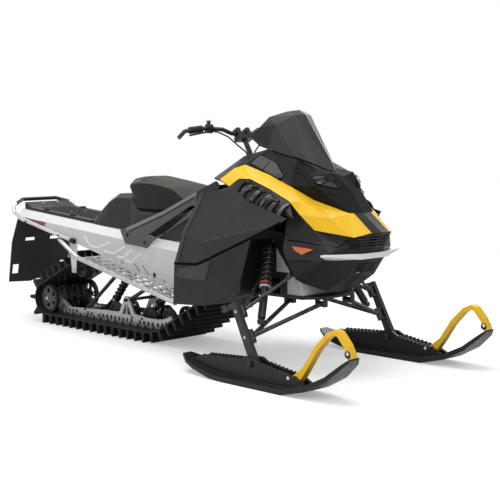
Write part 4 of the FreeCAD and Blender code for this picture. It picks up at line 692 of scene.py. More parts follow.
strips = []
for share_across in STRIP_SHARES:
    y = -(BOARD_INNER + (BOARD_OUTER - BOARD_INNER) * share_across)
    start, end = BOARD_ENDS[0][0] + STRIP_MARGIN, BOARD_ENDS[1][0] - STRIP_MARGIN
    outline = []
    for index in range(STRIP_TEETH):
        for step, lift in ((0.1, STRIP_FOOT), (0.35, STRIP_RISE), (0.65, STRIP_RISE), (0.9, STRIP_FOOT)):
            x = start + (end - start) * (index + step) / STRIP_TEETH
            outline.append((x, y, board_height(x) + lift))
    outline += [(end, y, board_height(end) - STRIP_FOOT), (start, y, board_height(start) - STRIP_FOOT)]
    strips.append(plate("strip", outline, 0.0022, 0))
settle_pair(join(strips, "traction_strips"), bare, "traction_strips")


# Rear grab bar.  One bright steel tube clamped along both sides of the tunnel and swept up
# behind the deck, with a black rubber cap on each front end.
GRAB_END = Vector((-0.850, -0.2323, 0.548))
GRAB_RUN = Vector((-0.580, 0, 0.112)).normalized()
GRAB_RADIUS = 0.012
CAP_WALL = 0.0035
CAP_LENGTH = 0.038
CAP_SET_BACK = 0.012
GRAB_BOLTS = ((-1.36, 0.6465), (-1.00, 0.577))
HOOP_BLACK = (0.700, 0.205)


def dark_hoop(tree, base):
    """Black where the bar crosses behind the deck; its risers stay bright."""
    _, split = object_place(tree)
    across = magnitude(tree, split.outputs["Y"])
    mask = product(tree, map_range(tree, split.outputs["Z"], HOOP_BLACK[0], HOOP_BLACK[0] + 0.003),
                   map_range(tree, across, HOOP_BLACK[1], HOOP_BLACK[1] - 0.003))
    return mix_colour(tree, mask, base, (0.015, 0.015, 0.016))


bright = finish("bright_tube", (0.70, 0.70, 0.71), 0.26, worn=(0.85, 0.85, 0.85), metallic=0.5,
                grain=(900.0, 0.05), varied=0.05, paint=dark_hoop)
grab_bar = clean_copy("rear_grab_bar", "grab_bar_tube")
settle(grab_bar, bright, "rear_grab_bar", smooth=45)
cap = started(bpy.ops.mesh.primitive_cylinder_add, vertices=28, radius=GRAB_RADIUS + CAP_WALL,
              depth=CAP_LENGTH)
round_edges(cap, 0.003, low=50, segments=3)
cap_place = GRAB_END + GRAB_RUN * CAP_SET_BACK
caps = place_copies("grab_bar_caps", cap, [(cap_place, GRAB_RUN),
                                           (cap_place * Vector((1, -1, 1)), GRAB_RUN)])
bpy.data.objects.remove(cap)
settle(caps, black)
grab_bolts = on_sides(GRAB_BOLTS, abs(GRAB_END.y) + GRAB_RADIUS)
settle(place_copies("grab_bar_bolts", small_bolt, grab_bolts), black_bolt)


# Snow flap.  A ribbed rubber sheet with four slots, hung from the tunnel's rear edge by
# screws through a steel strip.
FLAP_STRIP = (-1.5105, 0.690)
FLAP_BACK = (-1, 0, 0.24)
FLAP_BOLTS = (-0.12, -0.04, 0.04, 0.12)

rubber = finish("flap_rubber", (0.026, 0.026, 0.0265), 0.62, grain=(400.0, 0.4), dust=0.08, specular=0.25)
flap = clean_copy("snow_flap", "snow_flap_sheet")
round_edges(flap, 0.0015)
settle(flap, rubber, "snow_flap")
flap_bolts = [((FLAP_STRIP[0], y, FLAP_STRIP[1]), FLAP_BACK) for y in FLAP_BOLTS]
settle(place_copies("snow_flap_bolts", small_bolt, flap_bolts), zinc)


# Cargo deck.  A ribbed black moulding on the tunnel with four luggage anchors; each anchor is a
# ring pressed into its boss.
ANCHORS = ((-1.276, 0.14), (-0.989, 0.14))
ANCHOR_RISE = 0.023
ANCHOR_RADIUS = 0.0155
ANCHOR_WIRE = 0.0048
SCREW_ROWS = ((-1.44, 0.0375), (-1.13, 0.017), (-0.79, 0.017))
SCREW_HALF = 0.055

deck_black = finish("deck_moulding", (0.018, 0.018, 0.019), 0.48, grain=(420.0, 0.45), dust=0.10,
                    specular=0.3)
deck = clean_copy("cargo_deck", "cargo_deck_moulding")
round_edges(deck, 0.0016)
settle(deck, deck_black, "cargo_deck")
rings = []
for x, half in ANCHORS:
    for side in (-1, 1):
        rings.append(started(bpy.ops.mesh.primitive_torus_add, major_segments=36, minor_segments=10,
                             location=(x, side * half, tunnel_top(x) + ANCHOR_RISE),
                             major_radius=ANCHOR_RADIUS, minor_radius=ANCHOR_WIRE))
settle(join(rings, "anchor_rings"), black, smooth=60)
deck_screws = []
for x, rise in SCREW_ROWS:
    for y in (-SCREW_HALF, SCREW_HALF):
        deck_screws.append(((x, y, tunnel_top(x) + rise), (0.08, 0, 1)))
settle(place_copies("deck_screws", small_bolt, deck_screws), zinc)


# Tail lamp.  A moulded red lens with prismatic cells inside, clipped into the raised lip at the
# rear of the deck.
tail = clean_copy("tail_lamp", "tail_lamp_lens")
round_edges(tail, 0.004, low=50, segments=3)
settle(tail, red_lens, "tail_lamp")


# Track.  A moulded rubber loop with tall lugs outside, two rows of drive lugs inside and a steel
# guide clip in each pitch.
BELT_WHEELS = ((-1.245, 0.157, 0.092), (-0.236, 0.440, 0.375), (0.262, 0.391, 0.088),
               (-0.874, 0.372, 0.050))
BELT_THICKNESS = 0.008
LUG_COUNT = 51
DRIVE_LUG_ROWS = (-0.122, -0.081, 0.081, 0.122)
CLIP_ROWS = (-0.100, 0.100)
DRIVE_LUG = (0.011, 0.020)
LUG_TAPER = 0.55
CLIP_SIZE = (0.030, 0.017, 0.0016)

track_rubber = finish("track_rubber", (0.009, 0.009, 0.0095), 0.60, worn=(0.08, 0.08, 0.08), wear=0.8,
                      grain=(380.0, 0.5), dust=0.06, specular=0.25)
track = clean_copy("track", "track_belt")
round_edges(track, 0.0022, low=24)
settle(track, track_rubber, "track")


def belt_pieces(offset):
    """Straight and round pieces of the belt's inner line, moved outwards by an offset."""
    headings = []
    for index, (xa, za, ra) in enumerate(BELT_WHEELS):
        xb, zb, rb = BELT_WHEELS[(index + 1) % len(BELT_WHEELS)]
        headings.append(math.atan2(zb - za, xb - xa) + math.asin((ra - rb) / math.hypot(xb - xa, zb - za)))
    pieces = []
    for index, (x, z, radius) in enumerate(BELT_WHEELS):
        start, end = headings[index - 1], headings[index]
        while end < start:
            end += 2 * math.pi
        pieces.append(("round", x, z, radius + offset, start, end))
        xb, zb, _ = BELT_WHEELS[(index + 1) % len(BELT_WHEELS)]
        reach = (xb - x) * math.cos(end) + (zb - z) * math.sin(end)
        pieces.append(("straight", x + (radius + offset) * math.sin(end),
                       z - (radius + offset) * math.cos(end), reach, end))
    return pieces


def belt_point(distance, offset):
    """Place and heading at a distance along the belt's middle line."""
    for piece, shifted in zip(belt_pieces(BELT_THICKNESS / 2), belt_pieces(offset)):
        length = piece[3] * (piece[5] - piece[4]) if piece[0] == "round" else piece[3]
        if distance <= length:
            if piece[0] == "round":
                heading = piece[4] + distance / piece[3]
                return (shifted[1] + shifted[3] * math.sin(heading),
                        shifted[2] - shifted[3] * math.cos(heading), heading)
            return (shifted[1] + distance * math.cos(piece[4]), shifted[2] + distance * math.sin(piece[4]),
                    piece[4])
        distance -= length
    return belt_point(distance, offset)


belt_length = sum(piece[3] * (piece[5] - piece[4]) if piece[0] == "round" else piece[3]
                  for piece in belt_pieces(BELT_THICKNESS / 2))
pitch = belt_length / LUG_COUNT
drive_lug = started(bpy.ops.mesh.primitive_cylinder_add, vertices=4, radius=DRIVE_LUG[0],
                    depth=DRIVE_LUG[1],
                    location=(0, 0, DRIVE_LUG[1] / 2))
bpy.ops.object.transform_apply(location=True)
for vertex in drive_lug.data.vertices:
    if vertex.co.z > DRIVE_LUG[1] / 2:
        vertex.co.x *= LUG_TAPER
        vertex.co.y *= LUG_TAPER
clip = started(bpy.ops.mesh.primitive_cube_add, size=1, scale=CLIP_SIZE)
bpy.ops.object.transform_apply(scale=True)
lug_places = []
clip_places = []
for index in range(LUG_COUNT):
    x, z, heading = belt_point((index + 0.5) * pitch, 0.0)
    inward = (-math.sin(heading), 0, math.cos(heading))
    lug_places += [((x, y, z), inward) for y in DRIVE_LUG_ROWS]
    x, z, heading = belt_point((index + 1.0) * pitch, BELT_THICKNESS + 0.0004)
    clip_places += [((x, y, z), (math.sin(heading), 0, -math.cos(heading))) for y in CLIP_ROWS]
settle(place_copies("drive_lugs", drive_lug, lug_places), track_rubber)
settle(place_copies("guide_clips", clip, clip_places), zinc)
bpy.data.objects.remove(drive_lug)
bpy.data.objects.remove(clip)


# Wheels in the track.  Moulded wheels with rubber rims: four spoked idlers on the rear axle,
# small wheels between the rails, and a carrier pair under the tunnel.
IDLER = (-1.245, 0.157, 0.092)
AXLE_HALF = 0.176
CARRIER = (-0.874, 0.372)
CARRIER_HALF = 0.2202


def grey_spokes(tree, base):
    """The idlers' hubs and spokes in lighter grey inside the rubber rims."""
    _, split = object_place(tree)
    flat = tree.nodes.new("ShaderNodeCombineXYZ")
    tree.links.new(split.outputs["X"], flat.inputs["X"])
    tree.links.new(split.outputs["Z"], flat.inputs["Z"])
    away = node_in(tree, "ShaderNodeVectorMath", operation="DISTANCE")
    tree.links.new(flat.outputs["Vector"], away.inputs[0])
    away.inputs[1].default_value = (IDLER[0], 0, IDLER[1])
    inner = map_range(tree, away.outputs["Value"], IDLER[2] * 0.80, IDLER[2] * 0.77)
    return mix_colour(tree, inner, base, (0.135, 0.135, 0.138))


idler_look = finish("idler_wheels", (0.010, 0.010, 0.011), 0.50, grain=(500.0, 0.2), paint=grey_spokes,
                    specular=0.3)
wheel_look = finish("rail_wheels", (0.016, 0.016, 0.017), 0.50, grain=(500.0, 0.2), specular=0.3)
idlers = clean_copy("rear_idlers", "rear_idler_wheels")
round_edges(idlers, 0.0012)
settle(idlers, idler_look, "rear_idlers", smooth=40)
wheels = clean_copy("track_wheels", "rail_and_carrier_wheels")
round_edges(wheels, 0.0010)
settle(wheels, wheel_look, "track_wheels", smooth=40)
large_bolt = hex_bolt(0.009)
axle_bolts = on_sides([IDLER[:2]], AXLE_HALF) + on_sides([CARRIER], CARRIER_HALF)
settle(place_copies("axle_bolts", large_bolt, axle_bolts), zinc)
axle = clean_copy("drive_axle", "drive_axle_sprockets")
round_edges(axle, 0.0010)
settle(axle, wheel_look, "drive_axle", smooth=40)


# Slide rails.  Two aluminium extrusions, pierced by a row of square windows, that press the
# belt down on black plastic shoes.
RAIL_HALF = 0.100
RAIL_WALL = 0.0062
RAIL_BOLTS = ((-1.16, 0.112), (-0.93, 0.112), (-0.505, 0.205), (-0.455, 0.112), (-0.36, 0.112))

rail_look = finish("rail_extrusion", (0.46, 0.465, 0.475), 0.36, worn=(0.78, 0.78, 0.79), metallic=0.7,
                   grain=(500.0, 0.12), varied=0.08)
rails = clean_copy("slide_rails", "slide_rail_extrusions")
round_edges(rails, 0.0012)
settle(rails, rail_look, "slide_rails")
rail_bolts = on_sides(RAIL_BOLTS, RAIL_HALF + RAIL_WALL)
settle(place_copies("rail_bolts", small_bolt, rail_bolts), black_bolt)


# Track suspension.  Black tubular swing arms, and two dampers whose sleeves are taken off here
# and wound again as real springs.
TRACK_DAMPERS = (((-0.060, 0, 0.428), (-0.430, 0, 0.098)), ((-0.560, 0, 0.402), (-0.820, 0, 0.098)))
SPRING_SPAN = (0.13, 0.76)
SLEEVE_RADII = (0.0128, 0.0290)

enamel = finish("black_enamel", (0.009, 0.009, 0.010), 0.34, worn=(0.16, 0.16, 0.16), grain=(500.0, 0.08),
                dust=0.03,
                coat=0.12, specular=0.35)
spring_steel = finish("spring_steel", (0.012, 0.012, 0.013), 0.26, worn=(0.25, 0.25, 0.25),
                      grain=(700.0, 0.05),
                      dust=0.02, coat=0.4, specular=0.4)


def coil(name, start, end, radius, wire, turns, closed_turns=0.9):
    """A wound spring between two points, its end turns closer together."""
    start, end = Vector(start), Vector(end)
    along = (end - start).normalized()
    side = along.orthogonal().normalized()
    other = along.cross(side)
    total = (end - start).length
    steps = int(turns * 12)
    points = []
    for index in range(steps + 1):
        share = index / steps
        angle = share * turns * 2 * math.pi
        near = min(share, 1 - share) * turns
        eased = share if near > closed_turns else (share * 0.55 if share < 0.5 else 1 - (1 - share) * 0.55)
        points.append(start + along * (total * (share * 0.5 + eased * 0.5))
                      + (side * math.cos(angle) + other * math.sin(angle)) * radius)
    return tube(name, points, wire, around=2)


def ring(name, centre, along, radius, depth, edge=0.001, vertices=32):
    """A turned disc or collar centred on a point."""
    made = started(bpy.ops.mesh.primitive_cylinder_add, vertices=vertices, radius=radius, depth=depth)
    made.name = name
    round_edges(made, edge, low=50)
    lean = Vector(along).to_track_quat("Z", "Y").to_matrix().to_4x4()
    made.data.transform(Matrix.Translation(centre) @ lean)
    return made


def strip_sleeves(piece, dampers, radii):
    """Takes the plain sleeves off a copy of the CAD node, leaving the rods and eyes."""
    pick(piece)
    mesh = piece.data
    inside = set()
    for top, bottom in dampers:
        top, bottom = Vector(top), Vector(bottom)
        run = bottom - top
        for vertex in mesh.vertices:
            share = (vertex.co - top).dot(run) / run.length_squared
            reach = (vertex.co - (top + run * share)).length
            if SPRING_SPAN[0] < share < SPRING_SPAN[1] and reach < radii[1]:
                inside.add(vertex.index)
    for vertex in mesh.vertices:
        vertex.select = vertex.index in inside
    for edge in mesh.edges:
        edge.select = False
    for polygon in mesh.polygons:
        polygon.select = False
    bpy.ops.object.mode_set(mode="EDIT")
    bpy.ops.mesh.select_mode(type="VERT")
    bpy.ops.object.mode_set(mode="OBJECT")
    for vertex in mesh.vertices:
        vertex.select = vertex.index in inside
    bpy.ops.object.mode_set(mode="EDIT")
    bpy.ops.mesh.delete(type="VERT")
    bpy.ops.object.mode_set(mode="OBJECT")


def damper(name, top, bottom, coil_radius, wire, body_radius, foot_radius, seat_share, turns):
    """Body, spring, seats and adjuster of one damper; returns metal, spring and collar pieces."""
    top, bottom = Vector(top), Vector(bottom)
    run = bottom - top
    along = run.normalized()
    at = [top + run * share for share in (0.05, 0.13, seat_share, 0.99)]
    body = tube(name + "_body", [at[1] - along * 0.01, at[2] + along * 0.03], body_radius + 0.007,
                straight=True,
                around=6)
    shaft = tube(name + "_shaft", [at[0], at[3]], body_radius * 0.72, straight=True, around=5)
    foot = tube(name + "_foot", [at[2] + along * 0.012, at[3] - along * 0.012], foot_radius, straight=True,
                around=6)
    seats = [foot, ring("seat", at[1], along, coil_radius * 0.98, 0.006)]
    seats.append(ring("seat", at[2], along, coil_radius * 0.98, 0.006))
    collar = ring("collar", at[2] + along * 0.009, along, coil_radius * 0.92, 0.010, vertices=12)
    spring = coil(name + "_spring", at[1] + along * 0.003, at[2] - along * 0.003, coil_radius - wire, wire,
                  turns)
    return [body, shaft] + seats, spring, collar


swing = clean_copy("track_suspension", "track_swing_arms")
strip_sleeves(swing, TRACK_DAMPERS, SLEEVE_RADII)
settle(swing, enamel, "track_suspension", smooth=40)
for index, (top, bottom) in enumerate(TRACK_DAMPERS):
    label = f"track_damper_{index + 1}"
    metal, spring, collar = damper(label, top, bottom, 0.028, 0.0052, 0.012, 0.014, 0.70, 7)
    settle(join(metal, label + "_body"), enamel, smooth=40)
    settle(spring, spring_steel, smooth=60)
    settle(collar, zinc)
bpy.data.objects.remove(large_bolt)


# Seat base.  The black moulded fuel tank under the seat, drawn out behind it into a faceted
# tail box; a ribbed filler cap stands in front of the seat.
FILLER = Vector((0.245, 0, 0.802))

base_black = finish("seat_base_moulding", (0.019, 0.019, 0.020), 0.42, grain=(520.0, 0.35), dust=0.05,
                    specular=0.3)
seat_base = clean_copy("seat_base", "seat_base_moulding")
round_edges(seat_base, 0.005, low=7, high=120, segments=3)
settle(seat_base, base_black, "seat_base", smooth=45)
filler = ring("filler_cap", FILLER, (0, 0, 1), 0.034, 0.026, edge=0.003, vertices=28)
filler_grip = ring("filler_grip", FILLER + Vector((0, 0, 0.016)), (0, 0, 1), 0.022, 0.010, edge=0.002,
                   vertices=12)
settle(join([filler, filler_grip], "filler_cap"), black)


# Seat cushion.  Grained vinyl pulled over foam, filled out by a pressure simulation, with sewn
# channels and a double row of olive yellow stitches round each side panel.
SEAT_STATIONS = ((-0.423, 0.914, 0.125), (-0.387, 0.933, 0.138), (-0.300, 0.944, 0.146),
                 (-0.150, 0.940, 0.150), (0.0, 0.931, 0.150), (0.060, 0.903, 0.138), (0.150, 0.856, 0.105))
SEAT_SHOULDER = 0.028
SEAT_LEAN = 0.078
SEAT_SAG = 0.004
CROWN_SAG = 0.70
SAG_FOOT = 0.800
SEAT_BACK = 0.015
FRONT_PRESS = 0.034
SEAT_VOXEL = 0.0065
SEAT_CAP = 0.006
STITCH_PITCH = 0.0095

def shaded_sides(tree, base):
    """Painted shade: the cover is darker on its upright sides than on its top."""
    facing = object_facing(tree)
    return mix_colour(tree, map_range(tree, facing.outputs["Z"], 0.15, 0.65), (0.0040, 0.0040, 0.0040),
                      base)


# The cover's darker upright sides are painted shade.
vinyl = finish("seat_vinyl_shaded_sides", (0.030, 0.030, 0.0295), 0.50, worn=(0.05, 0.05, 0.05), grain=(430.0, 0.55),
               dust=0.04,
               paint=shaded_sides, specular=0.26)
thread = finish("olive_thread", (0.30, 0.24, 0.03), 0.6, wear=0.0, dust=0.0, grain=(3000.0, 0.4))
cushion = clean_copy("seat_cushion", "seat_cushion_cover")
low_corner, high_corner = (Vector(corner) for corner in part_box("seat_cushion"))
seat_middle = (low_corner + high_corner) / 2
SHRINK = Matrix.Diagonal((0.988, 0.975, 0.985, 1))
cushion.data.transform(Matrix.Translation(seat_middle) @ SHRINK @ Matrix.Translation(-seat_middle))


def sagged(point):
    """A point of the cushion after years of use: the crown is flatter and lower towards the front."""
    share = max(0.0, min(1.0, (point.x + 0.36) / 0.30))
    share = share * share * (3 - 2 * share)
    seam_height = SEAT_STATIONS[-1][1]
    for (x0, top0, _), (x1, top1, _) in zip(SEAT_STATIONS, SEAT_STATIONS[1:]):
        if x0 <= point.x <= x1:
            seam_height = top0 + (top1 - top0) * (point.x - x0) / (x1 - x0)
    seam_height -= SEAT_SHOULDER
    if point.x < SEAT_STATIONS[0][0]:
        seam_height = SEAT_STATIONS[0][1] - SEAT_SHOULDER
    crown = max(0.0, point.z - seam_height) * CROWN_SAG * share
    weight = max(0.0, min(1.0, (point.z - SAG_FOOT) / (seam_height - SAG_FOOT)))
    pressed = FRONT_PRESS * weight * max(0.0, min(1.0, (point.x + 0.06) / 0.16))
    return Vector((point.x - SEAT_BACK, point.y, point.z - crown - SEAT_SAG * share * weight - pressed))


for vertex in cushion.data.vertices:
    vertex.co = sagged(vertex.co)
round_edges(cushion, 0.010, low=20, segments=3)
voxels = cushion.modifiers.new("even_mesh", "REMESH")
voxels.mode = "VOXEL"
voxels.voxel_size = SEAT_VOXEL
bpy.ops.object.modifier_apply(modifier=voxels.name)
calm = cushion.modifiers.new("calm", "SMOOTH")
calm.iterations = 3
bpy.ops.object.modifier_apply(modifier=calm.name)


def seat_routes():
    """The sewn lines: along each side's upper edge, and down its rear and front edges."""
    routes = []
    for side in (-1, 1):
        upper = [sagged(Vector((x, side * half, top - SEAT_SHOULDER))) for x, top, half in SEAT_STATIONS]
        routes.append(upper)
        x, top, half = SEAT_STATIONS[0]
        routes.append([Vector((x - SEAT_BACK, side * half, top - SEAT_SHOULDER)),
                       Vector((x - SEAT_BACK + SEAT_LEAN, side * half, low_corner.z + 0.015))])
        x, top, half = SEAT_STATIONS[-1]
        routes.append([sagged(Vector((x, side * half, top - SEAT_SHOULDER))),
                       Vector((x - SEAT_BACK, side * half, 0.80))])
    return routes


def segment_reach(point, a, b):
    """Distance from a point to a straight segment."""
    run = b - a
    share = max(0.0, min(1.0, (point - a).dot(run) / run.length_squared))
    return (point - (a + run * share)).length


def near_route(point, routes):
    """Distance from a point to the nearest sewn line."""
    return min(segment_reach(point, a, b) for route in routes for a, b in zip(route, route[1:]))


sewn = seat_routes()
held = cushion.vertex_groups.new(name="held")
for vertex in cushion.data.vertices:
    if vertex.co.z < low_corner.z + 0.012 or near_route(vertex.co, sewn) < 0.011:
        held.add([vertex.index], 1.0, "REPLACE")
pick(cushion)
before = [vertex.co.copy() for vertex in cushion.data.vertices]
filling = cushion.modifiers.new("filling", "CLOTH")
filling.settings.use_pressure = True
filling.settings.uniform_pressure_force = 4.0
filling.settings.vertex_group_mass = "held"
filling.settings.effector_weights.gravity = 0.0
filling.settings.quality = 4
filling.point_cache.frame_start = 1
filling.point_cache.frame_end = 20
for frame_number in range(1, 21):
    bpy.context.scene.frame_set(frame_number)
bpy.ops.object.modifier_apply(modifier=filling.name)
bpy.context.scene.frame_set(1)
for vertex, start in zip(cushion.data.vertices, before):
    move = vertex.co - start
    if move.length > SEAT_CAP:
        vertex.co = start + move.normalized() * SEAT_CAP
fine = cushion.modifiers.new("fine", "SUBSURF")
fine.levels = 1
fine.render_levels = 1
pick(cushion)
bpy.ops.object.modifier_apply(modifier=fine.name)
for vertex in cushion.data.vertices:
    reach = near_route(vertex.co, sewn)
    if reach < 0.013:
        vertex.co -= vertex.normal * 0.0022 * (1 - reach / 0.013) ** 2
settle(cushion, vinyl, "seat_cushion", smooth=80)

stitch = started(bpy.ops.mesh.primitive_uv_sphere_add, segments=6, ring_count=4, radius=0.001,
                 scale=(1, 1, 3.1))
bpy.ops.object.transform_apply(scale=True)
stitch_places = []
for route in sewn:
    for row in (-0.0032, 0.0032):
        for a, b in zip(route, route[1:]):
            run = b - a
            count = max(1, round(run.length / STITCH_PITCH))
            for index in range(count):
                point = a + run * ((index + 0.5) / count)
                found, spot, normal, face = cushion.closest_point_on_mesh(point)
                across = normal.cross(run).normalized() * row
                found, spot, normal, face = cushion.closest_point_on_mesh(point + across)
                stitch_places.append((spot + normal * 0.0003, run))
settle(place_copies("seat_stitches", stitch, stitch_places), thread, smooth=60)
bpy.data.objects.remove(stitch)


# Braces.  Two cut plates from the tunnel up to the cross tube that holds the steering bearing:
# dark paint with a brushed upper flange and two black bolts at each foot.
BRACE_FACE = 0.2203 + 0.012
BRACE_BOLTS = ((-0.318, 0.618), (-0.158, 0.582))
BRACE_BLACK = 0.285


def brushed_top(tree, base):
    """Bare brushed metal where the plate's edge faces up; black where the braces meet."""
    _, split = object_place(tree)
    facing = object_facing(tree)
    bare_edge = mix_colour(tree, map_range(tree, facing.outputs["Z"], 0.45, 0.6), base, (0.42, 0.42, 0.43))
    return mix_colour(tree, map_range(tree, split.outputs["X"], BRACE_BLACK, BRACE_BLACK + 0.003),
                      bare_edge,
                      (0.014, 0.014, 0.015))


brace_look = finish("brace_paint", (0.075, 0.076, 0.079), 0.38, worn=(0.4, 0.4, 0.4), wear=0.6,
                    grain=(700.0, 0.1),
                    dust=0.03, paint=brushed_top, specular=0.35)
braces = clean_copy("steering_frame", "steering_frame_plates")
round_edges(braces, 0.0018)
settle(braces, brace_look, "steering_frame")
FLANGE = ((-0.335, 0.6525), (0.017, 0.7675), (0.290, 0.8775), (0.290, 0.8600), (0.017, 0.7500),
          (-0.322, 0.6370))
FLANGE_GROOVE = ((-0.300, 0.6360), (0.017, 0.7420), (0.270, 0.8440))
flange_look = finish("brushed_flange", (0.20, 0.20, 0.205), 0.34, worn=(0.5, 0.5, 0.5), metallic=0.3,
                     grain=(700.0, 0.1), varied=0.06)
flange = plate("flange", [(x, -BRACE_FACE - HAIR_GAP, z) for x, z in FLANGE], 0.0022, 0.0008)
settle_pair(flange, flange_look, "brace_flange")
groove = tube("groove", [(x, -BRACE_FACE, z) for x, z in FLANGE_GROOVE], 0.0022, straight=True)
settle_pair(groove, gap_black, "brace_groove")
brace_bolt = hex_bolt(0.0095)
brace_bolts = on_sides(BRACE_BOLTS, BRACE_FACE + HAIR_GAP)
settle(place_copies("brace_bolts", brace_bolt, brace_bolts), black_bolt)


# Bulkhead and engine.  A light cast frame in front of the tunnel that carries the arms and the
# dampers, round the plain cast block of the engine.
UPPER_CASTING = (0.840, 0.930, 0.492, 0.655)
LOWER_CASTING = (0.915, 1.060, 0.386, 0.482)
CASTING_SLOPE = 1.25
CASTING_LIMIT = 1.665


def zone(tree, split, x_range, z_range, soft=0.002):
    """A mask that is one inside a range of X and a range of Z."""
    mask = product(tree, map_range(tree, split.outputs["X"], x_range[0], x_range[0] + soft),
                   map_range(tree, split.outputs["X"], x_range[1], x_range[1] - soft))
    mask = product(tree, mask, map_range(tree, split.outputs["Z"], z_range[0], z_range[0] + soft))
    return product(tree, mask, map_range(tree, split.outputs["Z"], z_range[1], z_range[1] - soft))


def cast_brackets(tree, base):
    """Bright castings behind the damper and round the front arms; the rest is painted black."""
    _, split = object_place(tree)
    either = node_in(tree, "ShaderNodeMath", operation="MAXIMUM")
    for index, (x_low, x_high, z_low, z_high) in enumerate((UPPER_CASTING, LOWER_CASTING)):
        inside = zone(tree, split, (x_low, x_high), (z_low, z_high))
        if index == 0:
            slope = node_in(tree, "ShaderNodeMath", operation="MULTIPLY_ADD")
            tree.links.new(split.outputs["X"], slope.inputs[0])
            slope.inputs[1].default_value = CASTING_SLOPE
            tree.links.new(split.outputs["Z"], slope.inputs[2])
            inside = product(tree, inside, map_range(tree, slope.outputs[0], CASTING_LIMIT,
                                                     CASTING_LIMIT - 0.003))
        tree.links.new(inside, either.inputs[index])
    return mix_colour(tree, either.outputs[0], (0.012, 0.012, 0.013), base)


cast = finish("cast_frame", (0.46, 0.46, 0.47), 0.46, worn=(0.3, 0.3, 0.3), grain=(260.0, 0.5), dust=0.03,
              paint=cast_brackets, specular=0.4)
iron = finish("cast_engine", (0.016, 0.016, 0.017), 0.55, worn=(0.10, 0.10, 0.10), grain=(240.0, 0.7),
              dust=0.02,
              specular=0.3)
bulkhead = clean_copy("bulkhead", "bulkhead_casting")
round_edges(bulkhead, 0.0025)
settle(bulkhead, cast, "bulkhead")
engine = clean_copy("engine", "engine_casting")
round_edges(engine, 0.006, segments=3)
settle(engine, iron, "engine")


# Front arms.  Welded steel V arms in black enamel, an upper and a lower one on each side, on
# zinc bolts through the casting.
ARM_PIVOTS = ((1.060, 0.100, 0.342), (0.846, 0.100, 0.342), (0.975, 0.2033, 0.492), (0.764, 0.2033, 0.492))
BARREL_HALF = 0.0221

for side in ("right", "left"):
    arms = clean_copy(f"front_arms_{side}", f"front_arms_{side}_tubes")
    round_edges(arms, 0.0010, low=50)
    settle(arms, enamel, f"front_arms_{side}", smooth=40)
arm_bolts = []
for x, y, z in ARM_PIVOTS:
    for side in (-1, 1):
        for end in (-1, 1):
            arm_bolts.append(((x + end * BARREL_HALF, side * y, z), (end, 0, 0)))
settle(place_copies("arm_bolts", brace_bolt, arm_bolts), zinc)


# Front dampers.  Coil-over units between the casting and the lower arms: a black wound spring
# on an enamelled body, with a pale adjuster collar and a red ring above it.
LEAN = Vector((-0.45399, 0, 0.891007))
DAMPER_TOP = Vector((0.813, -0.2033, 0.648))
LOWER_JOINT = Vector((1.010, -0.470, 0.099)) + LEAN * 0.130
LOWER_PIVOT = Vector((0.846, -0.100, 0.342))
DAMPER_FOOT = LOWER_JOINT + (LOWER_PIVOT - LOWER_JOINT) * 0.22 + Vector((0.004, 0, 0.0323))
FRONT_SEAT = 0.56

adjuster_red = finish("adjuster_red", (0.45, 0.015, 0.015), 0.3, grain=(700.0, 0.05), coat=0.3)
adjuster_white = finish("adjuster_white", (0.42, 0.42, 0.42), 0.35, grain=(700.0, 0.05))
front_dampers = clean_copy("front_shocks", "front_damper_rods")
pairs = [(DAMPER_TOP, DAMPER_FOOT), (DAMPER_TOP * Vector((1, -1, 1)), DAMPER_FOOT * Vector((1, -1, 1)))]
strip_sleeves(front_dampers, pairs, (0.0128, 0.0330))
settle(front_dampers, enamel, "front_shocks", smooth=40)
for (top, bottom), side in zip(pairs, ("right", "left")):
    label = f"front_damper_{side}"
    metal, spring, collar = damper(label, top, bottom, 0.031, 0.0056, 0.012, 0.020, FRONT_SEAT, 7)
    settle(join(metal, label + "_body"), enamel, smooth=40)
    settle(spring, spring_steel, smooth=60)
    settle(collar, adjuster_white)
    run = bottom - top
    red_ring = ring(label + "_ring", top + run * FRONT_SEAT - run.normalized() * 0.010, run, 0.0315, 0.006)
    settle(red_ring, adjuster_red)


# Spindles and tie rods.  Forged black spindles on the kingpins, with pale bolts through the
# lugs, and steel rods to the steering.
SPINDLE_FOOT = Vector((1.010, 0.517, 0.099))
SPINDLE_BOLTS = (0.130, 0.262)

forged = finish("forged_spindle", (0.026, 0.026, 0.027), 0.40, worn=(0.16, 0.16, 0.16), grain=(420.0, 0.3),
                dust=0.04,
                specular=0.35)
for side in ("right", "left"):
    spindle = clean_copy(f"spindle_{side}", f"spindle_{side}_forging")
    round_edges(spindle, 0.0018)
    settle(spindle, forged, f"spindle_{side}", smooth=40)
    sign = -1 if side == "right" else 1
    bolts = []
    for rise in SPINDLE_BOLTS:
        centre = SPINDLE_FOOT * Vector((1, sign, 1)) + LEAN * rise
        bolts.append((centre + Vector((0, sign * HAIR_GAP, 0)), (0, sign, 0)))
    settle(place_copies(f"spindle_{side}_bolts", small_bolt, bolts), zinc, body=f"spindle_{side}")
rods = clean_copy("tie_rods", "tie_rod_links")
round_edges(rods, 0.0010, low=50)
settle(rods, enamel, "tie_rods", smooth=40)


# Skis.  Black moulded keels with toothed inner ridges, a white pivot bolt and a worn tip; each
# carries a yellow moulded loop, clamped to the tip with a black screw.
SKI_BOLT = Vector((1.010, 0.505, 0.099))
SKI_PIVOT_REACH = 0.0391
LOOP_SCREW = (1.604, 0.221)
SIDE_SCREW = (1.257, 0.069)
SIDE_SCREW_REACH = 0.033
YELLOW = (0.84, 0.50, 0.018)


